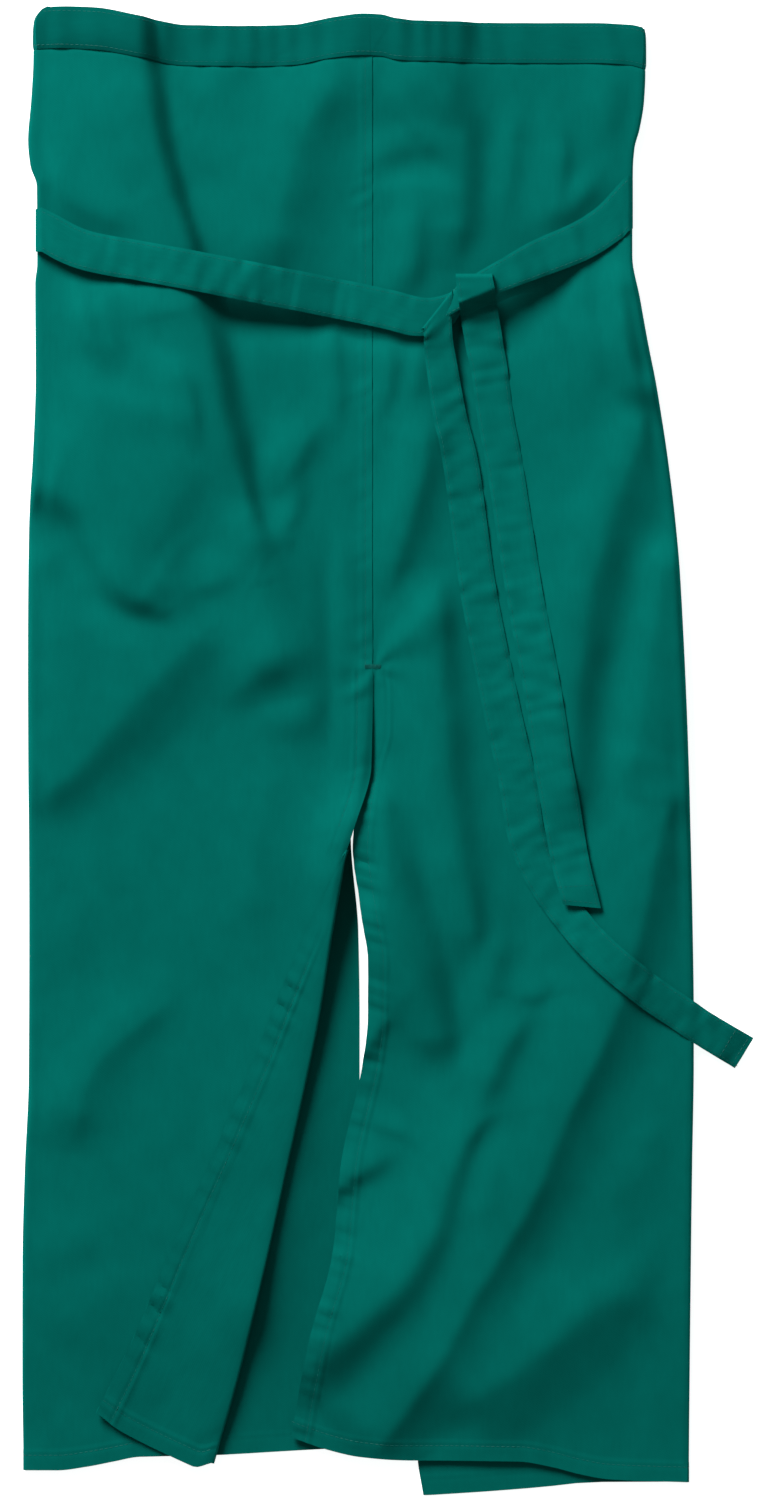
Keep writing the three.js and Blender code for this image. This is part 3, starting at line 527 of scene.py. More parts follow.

# Finishes: the weave's rib pitch in mm, its slant, the thread beat's share of the rib's turns, the heights
# of ribs and threads, and how painted shade and roughness follow the height; the dye's layers as rows of
# scale, detail and share; the range of its tone; the band's painted shade; how deep the ties are dyed
RIB_PITCH = 0.9
RIB_SLANT = 0.8
BEAT_SHARE = 0.7
RIB_HEIGHT = 0.36
BEAT_HEIGHT = 0.14
WEAVE_MIDDLE = 0.5
WEAVE_PAINTED_SHADE = (0.16, 0.92)
WEAVE_ROUGHNESS = (0.16, 0.74)
DYE_LAYERS = [((0.06, 0.042, 1.0), 3.0, 0.65), ((0.5, 0.09, 1.0), 2.0, 0.35)]
DYE_RANGE = (0.8, 1.2)
BAND_PAINTED_SHADE = 0.91
TIE_DYE = 0.925
THREAD_RANGE = (0.8, 1.1)

# Stage, in metres
FLOOR_HALF = 4.0
FLOOR_HEIGHT = -0.3 * MM
KEY_PLACE = (-2.0, 3.12, 2.56)
KEY_SIZE = 2.2
KEY_POWER = 322
ROOM_LIGHT = 0.2
CAMERA_LENS = 135
CAMERA_SENSOR = 36
CAMERA_FAR = 20
CAMERA_PLACE = (-3.125 * MM, 1.5625 * MM, 3.5236)

# The halves: which way each lies from the seam, its outlines, and how far its seam's puckers lie inside
# its inner edge
HALVES = {
    "left": {
        "sign": -1, "side": LEFT_SIDE, "inner": LEFT_INNER, "wing": LEFT_WING,
        "front_hem": LEFT_FRONT_HEM, "wing_hem": LEFT_WING_HEM, "seam_line": 4.4,
    },
    "right": {
        "sign": 1, "side": RIGHT_SIDE, "inner": RIGHT_INNER, "wing": RIGHT_WING,
        "front_hem": RIGHT_FRONT_HEM, "wing_hem": RIGHT_WING_HEM, "seam_line": -4,
    },
}


class ApronSizes(bpy.types.PropertyGroup):
    """Sizes that a user would change."""
    cloth: FloatProperty(
        name="Cloth", description="Thickness of the single cloth", default=1.1 * MM, unit="LENGTH",
        precision=4)
    band: FloatProperty(
        name="Waistband", description="Thickness of the doubled waistband", default=2.2 * MM, unit="LENGTH",
        precision=4)
    band_height: FloatProperty(
        name="Waistband height", description="Height of the waistband", default=25 * MM, unit="LENGTH")
    tie: FloatProperty(
        name="Tie", description="Thickness of a tie", default=1.5 * MM, unit="LENGTH", precision=4)
    tie_width: FloatProperty(
        name="Tie width", description="Full width of a tie", default=24.6 * MM, unit="LENGTH")
    hem: FloatProperty(
        name="Hem", description="Width of the turned hems", default=11 * MM, unit="LENGTH")
    stitch: FloatProperty(
        name="Stitch", description="Length of one stitch with its gap", default=3.2 * MM, unit="LENGTH",
        precision=4)
    thread: FloatProperty(
        name="Thread", description="Thickness of the sewing thread", default=0.42 * MM, unit="LENGTH",
        precision=5)
    fold_share: FloatProperty(
        name="Fold height", description="Share of the folds' full height", default=1.25, min=0.0, max=2.0,
        subtype="FACTOR")
    pucker: FloatProperty(
        name="Puckers", description="Height of the puckers along stitch lines", default=0.34 * MM,
        unit="LENGTH", precision=5)


class ApronColours(bpy.types.PropertyGroup):
    """Colours of the cloths, the thread and the floor."""
    cloth: FloatVectorProperty(
        name="Cloth", description="Colour of the two halves", default=deep(SLOT_COLOURS["apron_twill"]),
        subtype="COLOR", min=0, max=1)
    band: FloatVectorProperty(
        name="Waistband", description="Colour of the waistband", default=deep(SLOT_COLOURS["band_twill"]),
        subtype="COLOR", min=0, max=1)
    tie: FloatVectorProperty(
        name="Ties", description="Colour of the ties", default=deep(SLOT_COLOURS["tie_twill"]),
        subtype="COLOR", min=0, max=1)
    thread: FloatVectorProperty(
        name="Thread", description="Colour of the sewing thread", default=(0.004, 0.13, 0.11),
        subtype="COLOR", min=0, max=1)
    floor: FloatVectorProperty(
        name="Floor", description="Colour of the plain floor", default=(0.9, 0.9, 0.9),
        subtype="COLOR", min=0, max=1)


def size_of(name):
    """A size from the property group, in millimetres."""
    return getattr(bpy.context.scene.apron_sizes, name) / MM


def colour_of(name):
    """A colour from the property group."""
    return tuple(getattr(bpy.context.scene.apron_colours, name))


def ramp(value, start, end):
    """Smooth step from 0 at start to 1 at end: three squares less two cubes of the clipped share."""
    share = np.clip((value - start) / (end - start), 0, 1)
    return share * share * (3 - 2 * share)


def mix(a, b, share):
    """Straight blend from a to b."""
    return a + (b - a) * share


def read_curve(table, at):
    """Value of a two-column table at each place: a cubic between rows, whose slope at a row is the harmonic
    mean of the chords beside it, or level where they turn, so it never overshoots."""
    rows = np.asarray(sorted(table), float)
    key, value = rows.T
    step = np.diff(key)
    chord = np.diff(value) / step
    turn = chord[:-1] * chord[1:]
    total = chord[:-1] + chord[1:]
    inner = np.where(turn > 0, 2 * turn / np.where(turn > 0, total, 1), 0)
    slope = np.concatenate([chord[:1], inner, chord[-1:]])
    place = np.clip(at, key[0], key[-1])
    i = np.clip(np.searchsorted(key, place) - 1, 0, len(step) - 1)
    t = (place - key[i]) / step[i]
    rest = 1 - t
    from_low = rest * rest * ((1 + 2 * t) * value[i] + t * step[i] * slope[i])
    from_high = t * t * ((3 - 2 * t) * value[i + 1] - rest * step[i] * slope[i + 1])
    return from_low + from_high


def spline(points, steps):
    """Catmull-Rom curve through points, with a set number of steps between each two."""
    p = np.asarray(points, float)
    p = np.concatenate([2 * p[:1] - p[1:2], p, 2 * p[-1:] - p[-2:-1]])
    a, b, c, d = (q[:, None] for q in (p[:-3], p[1:-2], p[2:-1], p[3:]))
    t = np.linspace(0, 1, steps, endpoint=False)[None, :, None]
    curve = b + 0.5 * t * (c - a + t * (2 * a - 5 * b + 4 * c - d + t * (3 * (b - c) + d - a)))
    return np.concatenate([curve.reshape(-1, p.shape[1]), p[-2:-1]])


def beside_line(x, y, line):
    """Distance of each point from a line, plus to the right of its travel, with the share along it, the
    size there and the line's length. Far from the line these are means over its nearer stretches, so that
    they stay smooth inside a bend."""
    path = spline(line, FOLD_STEPS)
    step = np.diff(path, axis=0)
    long = np.hypot(step[:, 0], step[:, 1])
    place = np.concatenate([[0], np.cumsum(long)]) / long.sum()
    px, py = x - path[:-1, 0, None], y - path[:-1, 1, None]
    dx, dy, grow = step.T[:, :, None]
    share = np.clip((px * dx + py * dy) / (long ** 2)[:, None], 0, 1)
    reach = np.hypot(px - dx * share, py - dy * share)
    away = reach.min(axis=0)
    nearest = reach.argmin(axis=0)[None]
    side = np.sign(np.take_along_axis(dy * px - dx * py, nearest, axis=0)[0])
    weight = np.exp((away - reach) / FOLD_BLEND)
    weight /= weight.sum(axis=0)
    along = np.sum(weight * mix(place[:-1, None], place[1:, None], share), axis=0)
    size = np.sum(weight * (path[:-1, 2, None] + grow * share), axis=0)
    away = mix(away, np.sum(weight * reach, axis=0), ramp(away, *FOLD_BLEND_RANGE))
    return away * side, along, size, long.sum()


def fold_height(x, y, high, slow, steep, power, line):
    """Height that one fold adds: across its line the exponential of minus the share of the width, squared
    on the slow side and raised to the fold's power on the steep one, centred so that its steepest part
    follows the line, and fading out at both ends."""
    z = np.zeros(x.shape)
    rows = np.asarray(line, float)
    reach = FOLD_REACH * max(slow, steep) * rows[:, 2].max()
    low, top = rows.min(0) - reach, rows.max(0) + reach
    near = (x > low[0]) & (x < top[0]) & (y > low[1]) & (y < top[1])
    if near.any():
        off, along, size, length = beside_line(x[near], y[near], line)
        off = off / size - steep * (1 - 1 / power) ** (1 / power)
        fade = min(FOLD_END_SHARE, FOLD_END_LENGTH / length)
        ends = ramp(along, 0, fade) * ramp(1 - along, 0, fade)
        drop = np.where(off > 0, (off / slow) ** 2, (np.abs(off) / steep) ** power)
        z[near] = high * size * ends * np.exp(-drop)
    return z


def waves(seed, table, x, y):
    """Seeded sum of plane waves: each row of the table gives a wavelength, a height and their number."""
    rng = np.random.default_rng(seed)
    total = np.zeros(np.broadcast(x, y).shape)
    for length, high, count in table:
        least, most = (0, WAVE_STRETCH[0], 0), (np.pi, WAVE_STRETCH[1], 2 * np.pi)
        for angle, stretch, phase in rng.uniform(least, most, (count, 3)):
            run = (x * np.cos(angle) + y * np.sin(angle)) / (length * stretch)
            total += high / np.sqrt(count) * np.sin(2 * np.pi * run + phase)
    return total


def front_height(x, y):
    """Middle of the front cloth above the floor: its resting height, every fold and a slow undulation. The
    folds are read at slightly wandering places, so that their edges aren't ruled lines."""
    x, y = np.broadcast_arrays(np.asarray(x, float), np.asarray(y, float))
    wander_x = x + waves(UNDULATION_SEED + 1, WANDER, x, y)
    wander_y = y + waves(UNDULATION_SEED + 2, WANDER, x, y)
    folds = sum(fold_height(wander_x, wander_y, *fold[1:]) for fold in FOLDS)
    drift = waves(UNDULATION_SEED + 3, DRIFT, x, y)
    swell = waves(UNDULATION_SEED, UNDULATION, x + drift, y - drift)
    droop = HEM_DROOP * (1 - ramp(y, *HEM_DROOP_RANGE))
    return FRONT_HEIGHT - droop + bpy.context.scene.apron_sizes.fold_share * folds + swell


def underlap(x, y):
    """How far the right leg's inner edge dips to pass under the left leg's edge below the split's top."""
    low, low_full, high_full, high = UNDERLAP_Y
    across = 1 - ramp(x, *UNDERLAP_X)
    return UNDERLAP_DIP * across * ramp(y, low, low_full) * (1 - ramp(y, high_full, high))


def wing_height(y):
    """Middle of a wing: on the floor below, raised at the waist where the ties cross underneath."""
    raised = mix(WING_HEIGHT, WING_LIFT, ramp(y, *WING_LIFT_RANGE))
    return mix(raised, WING_BAND_HEIGHT, ramp(y, *WING_FALL_RANGE))


def inner_edge(half, y):
    """Inner edge of a front. The rolled crease draws the left one in below the split; the right one reaches
    a little under the left at the seam."""
    edge = read_curve(half["inner"], y)
    if half["sign"] < 0:
        return edge - CREASE_BULGE * ramp(y, *CREASE_RANGE)
    return edge - SEAM_TUCK * ramp(y, SPLIT_TOP - SEAM_TUCK_RISE, SPLIT_TOP)


def wrap(half, column, y):
    """Point of a half's middle surface. Column 0 to 1 runs over the wing to the side, 1 to 2 round the
    side's half circle, 2 to 3 over the front to its inner edge. Gives x, z and the unrolled place across."""
    sign = half["sign"]
    side = read_curve(half["side"], y)
    low = wing_height(y)
    nominal = side - sign * (FRONT_HEIGHT / 2 + 1)
    high = front_height(nominal, y)
    radius = (high - low) / 2
    axis = side - sign * (SIDE_SQUEEZE * radius + size_of("cloth") / 2)
    angle = np.pi * np.clip(column - 1, 0, 1)
    wing_x = mix(read_curve(half["wing"], y), axis, np.clip(column, 0, 1))
    front_x = mix(axis, inner_edge(half, y), np.clip(column - 2, 0, 1))
    side_x = axis + sign * SIDE_SQUEEZE * radius * np.sin(angle)
    x = np.where(column < 1, wing_x, np.where(column < 2, side_x, front_x))
    from_side = np.abs(x - axis)
    front_z = mix(high, front_height(x, y), ramp(from_side, 0, SIDE_BLEND))
    loose = ramp(y, *WING_LOOSE_Y) * ramp(from_side, *WING_LOOSE_X)
    ripple = loose * WING_RIPPLE * np.sin(x / WING_RIPPLE_RUN[0] + y / WING_RIPPLE_RUN[1]) ** 2
    if sign < 0:
        beside = np.exp(-(((x - inner_edge(half, y)) / WING_BULGE_WIDTH) ** 2))
        bulge = WING_BULGE * mix(WING_BULGE_AT_HEM, 1, ramp(y, *HEM_DROOP_RANGE))
        ripple = ripple + bulge * beside * ramp(y, *WING_BULGE_RANGE)
    round_z = low + radius * (1 - np.cos(angle))
    z = np.where(column < 1, low + ripple, np.where(column < 2, round_z, front_z))
    unrolled = np.where(column < 1, axis + sign * (np.pi * radius + np.abs(axis - x)), x)
    unrolled = np.where((column >= 1) & (column < 2), axis + sign * radius * (np.pi - angle), unrolled)
    return x, z, unrolled


def graded(length, coarse, fine, fine_start, fine_end):
    """Shares from 0 to 1 along a length, in fine steps near either end and coarse ones between."""
    steps = [np.full(int(round(fine_start / fine)), fine)]
    steps.append(np.full(int(round((length - fine_start - fine_end) / coarse)), coarse))
    steps.append(np.full(int(round(fine_end / fine)), fine))
    places = np.concatenate([[0], np.cumsum(np.concatenate(steps))])
    return places / places[-1]


def hem_rise(distance, width):
    """Height of a doubled edge by distance from it: level over the hem, with a groove at its stitches, then
    a short slope down to the single cloth."""
    level = HEM_STEP * (1 - ramp(distance, width, width + HEM_SLOPE))
    groove = HEM_GROOVE * np.exp(-(((distance - width + STITCH_INSET) / HEM_GROOVE_WIDTH) ** 2))
    return level - groove


def puckers(along, off, seed):
    """Small ripples square to a stitch line: a seeded sum of short waves along it that skew and die away
    with distance off it, stronger in some stretches than in others."""
    ripple = waves(seed, PUCKER_WAVES, along + PUCKER_SKEW * off, 0 * along)
    strength = mix(PUCKER_STEADY, 1, waves(seed + 1, PUCKER_PATCHES, along, 0 * along))
    return size_of("pucker") * strength * ripple * np.exp(-((off / PUCKER_WIDTH) ** 2))


def tack_puckers(x, y):
    """Star of small ripples round the tack at the top of the split: a wave in angle, rising then dying away
    with distance."""
    dx, dy = x - SEAM_X - TACK_SHIFT, y - SPLIT_TOP
    reach = np.hypot(dx, dy) + 1e-6
    swell = (reach / TACK_REACH) * np.exp(1 - reach / TACK_REACH)
    return TACK_HEIGHT * swell * np.cos(TACK_RAYS * np.arctan2(dy, dx) + TACK_TURN)


def grid_quads(rows, columns, flip=False):
    """Quads of a grid whose points are numbered row by row."""
    first = (np.arange(rows - 1)[:, None] * columns + np.arange(columns - 1)).reshape(-1)
    quads = np.stack([first, first + 1, first + columns + 1, first + columns], axis=1)
    return quads[:, ::-1] if flip else quads


def vertex_normals(points, quads):
    """Normal at each point: the sum of the diagonals' cross products of the quads round it, made unit."""
    a, b, c, d = (points[quads[:, k]] for k in range(4))
    across = np.cross(c - a, d - b)
    normals = np.zeros_like(points)
    for k in range(4):
        np.add.at(normals, quads[:, k], across)
    return normals / np.maximum(np.linalg.norm(normals, axis=1, keepdims=True), 1e-9)


def cloth_wall(points, quads, thickness):
    """Closed wall: the middle surface pushed half its thickness both ways along its normals, joined by a rim
    over the edges that only one quad uses. Gives its points, quads and the surface's normals."""
    normals = vertex_normals(points, quads)
    half = normals * np.broadcast_to(thickness, len(points))[:, None] / 2
    count = len(points)
    edges = np.concatenate([quads[:, [k, (k + 1) % 4]] for k in range(4)]).astype(np.int64)
    ahead = edges[:, 0] * count + edges[:, 1]
    back = edges[:, 1] * count + edges[:, 0]
    rim = edges[~np.isin(back, ahead)]
    sides = np.stack([rim[:, 1], rim[:, 0], rim[:, 0] + count, rim[:, 1] + count], axis=1)
    faces = np.concatenate([quads, quads[:, ::-1] + count, sides])
    return np.concatenate([points + half, points - half]), faces, normals


def on_grid(values, row, column):
    """Reads a grid of values between its points, in straight lines along rows and columns."""
    r = np.clip(np.floor(row).astype(int), 0, values.shape[0] - 2)
    c = np.clip(np.floor(column).astype(int), 0, values.shape[1] - 2)
    fr, fc = (row - r)[:, None], (column - c)[:, None]
    low = mix(values[r, c], values[r, c + 1], fc)
    high = mix(values[r + 1, c], values[r + 1, c + 1], fc)
    return mix(low, high, fr)


def stitch_line(outer, normals, row, column):
    """Line across a grid for a row of stitches: its points and the cloth's normals there."""
    return on_grid(outer, row, column), on_grid(normals, row, column)


def walked(points):
    """Distance along a line at each of its points: the running sum of the gaps between them."""
    return np.concatenate([[0], np.cumsum(np.linalg.norm(np.diff(points, axis=0), axis=1))])


def read_line(values, place, at):
    """Three-part values along a line, read at distances along it in straight lines between its points."""
    return np.stack([np.interp(at, place, values[:, k]) for k in range(3)], axis=1)


def unit(vectors):
    """Vectors divided by their own lengths."""
    return vectors / np.linalg.norm(vectors, axis=1, keepdims=True)


def stitches(line, normals, length=None, pitch=None, turn=False):
    """Row of stitches along a line on the cloth: each is a small four-sided spindle of four rings, sunk a
    little in the cloth. With turn, they lie across the line, as in a tack."""
    pitch = pitch or size_of("stitch")
    length = length or pitch * STITCH_FILL
    place = walked(line)
    at = np.arange(pitch / 2, place[-1], pitch)
    centre = read_line(line, place, at)
    up = unit(read_line(normals, place, at))
    along = read_line(line, place, at + 0.5) - read_line(line, place, at - 0.5)
    along = unit(along - up * np.sum(along * up, axis=1, keepdims=True))
    across = np.cross(up, along)
    if turn:
        along, across = across, -along
    radius = size_of("thread") / 2
    ring_place, ring_wide = np.array(STITCH_RINGS).T[:, :, None, None, None]
    corners = np.array([(1, 0), (0, 1), (-1, 0), (0, -1)])
    offset_across = ring_wide * corners[:, 0, None, None] * radius * across
    offset_up = (ring_wide * corners[:, 1, None, None] * radius - STITCH_SINK) * up
    points = (centre + ring_place * length * along + offset_across + offset_up).transpose(2, 0, 1, 3)
    quads = []
    for ring in range(3):
        for k in range(4):
            a, b = 4 * ring + k, 4 * ring + (k + 1) % 4
            quads.append((a, b, b + 4, a + 4))
    quads += [(3, 2, 1, 0), (12, 13, 14, 15)]
    first = 16 * np.arange(len(at))[:, None, None]
    return points.reshape(-1, 3), (np.array(quads)[None] + first).reshape(-1, 4)


def joined(parts):
    """Several sets of points, quads, cloth places and material numbers as one."""
    points, quads, places, kinds = [], [], [], []
    count = 0
    for part_points, part_quads, part_places, kind in parts:
        points.append(part_points)
        quads.append(part_quads + count)
        places.append(part_places)
        kinds.append(np.full(len(part_quads), kind))
        count += len(part_points)
    return tuple(np.concatenate(group) for group in (points, quads, places, kinds))


def sewn_piece(name, wall, faces, places, lines, material):
    """Piece of a cloth wall, with the first material, and its rows of stitches, with the second."""
    parts = [(wall, faces, places, 0)]
    for line in lines:
        points, quads = stitches(*line)
        parts.append((points, quads, np.zeros((len(points), 3)), 1))
    return make_piece(name, parts, [material, thread_material()])


def make_piece(name, parts, materials):
    """Mesh object from joined parts, with the cloth places kept as the attribute that the weave reads."""
    points, quads, places, kinds = joined(parts)
    mesh = bpy.data.meshes.new(name)
    mesh.vertices.add(len(points))
    mesh.vertices.foreach_set("co", (points * MM).astype(np.float32).ravel())
    mesh.loops.add(4 * len(quads))
    mesh.loops.foreach_set("vertex_index", quads.astype(np.int32).ravel())
    mesh.polygons.add(len(quads))
    mesh.polygons.foreach_set("loop_start", np.arange(0, 4 * len(quads), 4, dtype=np.int32))
    mesh.polygons.foreach_set("material_index", kinds.astype(np.int32))
    mesh.update(calc_edges=True)
    if mesh.validate():
        raise RuntimeError(f"{name} has faces that a mesh can't hold")
    attribute = mesh.attributes.new("cloth", "FLOAT_VECTOR", "POINT")
    attribute.data.foreach_set("vector", places.astype(np.float32).ravel())
    for material in materials:
        mesh.materials.append(material)
    mesh.shade_smooth()
    mesh.set_sharp_from_angle(angle=np.radians(SHARP_DEGREES))
    return add_to_scene(bpy.context.scene, name, mesh)


def doubled(places, inside=0):
    """Cloth places for both faces of a wall; the third place marks the inside face, drawn darker as painted
    shade.
    """
    return np.concatenate([places, places + (0, 0, inside)])


def half_columns(half):
    """Column places of a half, fine towards the inner edge."""
    wing = np.linspace(0, 1, WING_COLUMNS, endpoint=False) ** WING_SPREAD
    side = 1 + np.linspace(0, 1, SIDE_COLUMNS, endpoint=False)
    wide = np.abs(read_curve(half["side"], 0.0) - SEAM_X)
    return np.concatenate([wing, side, 2 + graded(wide, CLOTH_STEP, EDGE_STEP, 0, EDGE_BAND)])


def half_surface(half):
    """Middle surface of a half on a grid: every column has its own hem and top, and shares its rows out
    between them, fine at the hem. The top is tucked under the waistband and follows part of its tilt.
    Hems, the seam and their puckers are added to the height."""
    sign = half["sign"]
    columns = half_columns(half)
    low_x = wrap(half, columns, np.full(columns.shape, HEM_LEVEL))[0]
    high_x = wrap(half, columns, np.full(columns.shape, BAND_LEVEL))[0]
    hem = np.where(columns < 1, read_curve(half["wing_hem"], low_x), read_curve(half["front_hem"], low_x))
    drop = WING_DROP * np.clip(1 - columns, 0, 1)
    top = read_curve(TOP_EDGE, high_x) - size_of("band_height") + TOP_TUCK - drop
    rows = graded(CLOTH_LENGTH, CLOTH_STEP, EDGE_STEP, EDGE_BAND, TOP_FINE)
    column, row = np.meshgrid(columns, rows)
    y = mix(hem, top, row)
    x, z, across = wrap(half, column, y)
    band_low = top - TOP_TUCK
    tucked = TOP_TUCK_DEPTH * ramp(y, band_low + TOP_TUCK_RAMP[0], band_low + TOP_TUCK_RAMP[1])
    turn = np.pi * np.clip(column - 1, 0, 1)
    x = x - sign * tucked * np.sin(turn)
    z = z + tucked * np.cos(turn)
    front = column >= 2
    inside = np.clip((y - band_low) / size_of("band_height"), 0, 1)
    z = z + TOP_FOLLOW * front * read_curve(BAND_TILT, x) * inside
    width = size_of("hem")
    from_hem = y - hem
    from_inner = np.abs(inner_edge(half, y) - x)
    below_split = 1 - ramp(y, *SPLIT_BLEND)
    thick = np.full(x.shape, size_of("cloth"))
    hem_lift = 0.5 * hem_rise(from_hem, width)
    hem_line = from_hem - width + STITCH_INSET
    z = z + front * (0.5 * hem_lift + puckers(x, hem_line, PUCKER_SEEDS["hem"] + sign))
    thick = thick + hem_lift * HEM_FILL
    seam = (1 - below_split) * puckers(y, from_inner - half["seam_line"], PUCKER_SEEDS["seam"])
    if sign < 0:
        edge = below_split * ramp(y, *FLAP_EDGE_BLEND)
        felled = (1 - below_split) * np.where(from_inner < SEAM_WIDTH + SEAM_REACH, 1, 0)
        lift = edge * hem_rise(from_inner, width) + felled * 0.5 * hem_rise(from_inner, SEAM_WIDTH)
        edge_line = from_inner - width + STITCH_INSET
        crinkle = edge * puckers(y, edge_line, PUCKER_SEEDS["split"])
        z = z + np.where(front, 0.5 * lift + felled * SEAM_RAISE + seam + crinkle, 0)
    else:
        lift = below_split * hem_rise(from_inner, width)
        dip = (1 - below_split) * SEAM_DIP * (1 - ramp(from_inner, *SEAM_DIP_RANGE)) + underlap(x, y)
        crinkle = RIGHT_EDGE_CRINKLE * puckers(y, from_inner - width / 2, PUCKER_SEEDS["right_edge"])
        z = z + np.where(front, 0.5 * lift - dip + seam + below_split * crinkle, 0)
    thick = thick + np.where(front, lift, 0) * HEM_FILL
    z = z + np.where(front, tack_puckers(x, y), 0)
    points = np.stack([x, y, z], axis=2)
    places = np.stack([across, y, 0 * y], axis=2)
    return points, places, thick, columns, rows, hem, top


def flap_surface(points, places, thick, from_hem):
    """The left leg's edge turned back: from the crease each row rolls over half a circle and lies back over
    the front to the free edge, which is hemmed and puckered."""
    crease, crease_place = points[:, -1], places[:, -1]
    tangent = np.gradient(crease[:, :2], axis=0)
    out = unit(np.stack([tangent[:, 1], -tangent[:, 0]], axis=1))
    grow = ramp(crease[:, 1], *FLAP_GROW_RANGE)
    radius = FLAP_LIFT / 2 * mix(FLAP_START_SHARE, 1, grow)
    angle = np.pi * np.arange(1, ROLL_COLUMNS + 1) / ROLL_COLUMNS
    roll_xy = crease[:, None, :2] + out[:, None] * (radius[:, None] * np.sin(angle))[:, :, None]
    roll_z = crease[:, 2, None] + radius[:, None] * (1 - np.cos(angle))
    share = graded(FLAP_LENGTH, FLAP_STEP, EDGE_STEP, 0, EDGE_BAND)[1:]
    free = np.stack([read_curve(table, crease[:, 1]) for table in (FLAP_FREE_X, FLAP_FREE_Y)], axis=1)
    over = mix(crease[:, None, :2], free[:, None], share[None, :, None])
    bow = read_curve(FLAP_BOW, share) * ramp(crease[:, 1, None], *FLAP_BOW_RANGE)
    over[:, :, 1] -= bow
    long = np.linalg.norm(free - crease[:, :2], axis=1)[:, None]
    from_free = (1 - share) * long
    width = size_of("hem")
    narrow = ramp(long, *FLAP_NARROW)
    corner = ramp(crease[:, 1, None], *FLAP_CORNER_RANGE) * ramp(share, FLAP_CORNER_SHARE, 1)
    lift = mix(2 * radius[:, None], FLAP_EDGE_LIFT, ramp(share, 0, 1)) + FLAP_CORNER_LIFT * corner
    hem_lift = narrow * hem_rise(from_free, width) + hem_rise(from_hem[:, None], width)
    ripple = puckers(crease[:, 1, None], from_free - width / 2, PUCKER_SEEDS["flap"])
    over_z = front_height(over[:, :, 0], over[:, :, 1]) + lift + 0.5 * hem_lift
    over_z = over_z + narrow * FLAP_CRINKLE * ripple
    flap_xy = np.concatenate([roll_xy, over], axis=1)
    flap_z = np.concatenate([roll_z, over_z], axis=1)
    flap = np.concatenate([flap_xy, flap_z[:, :, None]], axis=2)
    step = np.linalg.norm(np.diff(np.concatenate([crease[:, None], flap], axis=1), axis=1), axis=2)
    flap_places = np.repeat(crease_place[:, None], flap.shape[1], axis=1)
    flap_places[:, :, 0] += np.cumsum(step, axis=1)
    roll_thick = np.repeat(thick[:, -1:], ROLL_COLUMNS, axis=1)
    flap_thick = np.concatenate([roll_thick, size_of("cloth") + HEM_FILL * hem_lift], axis=1)
    return flap, flap_places, flap_thick, from_free, long[:, 0]


def row_at(rows, share):
    """Place along the grid's rows, in row numbers, of a share from hem to top."""
    return np.interp(share, rows, np.arange(len(rows)))


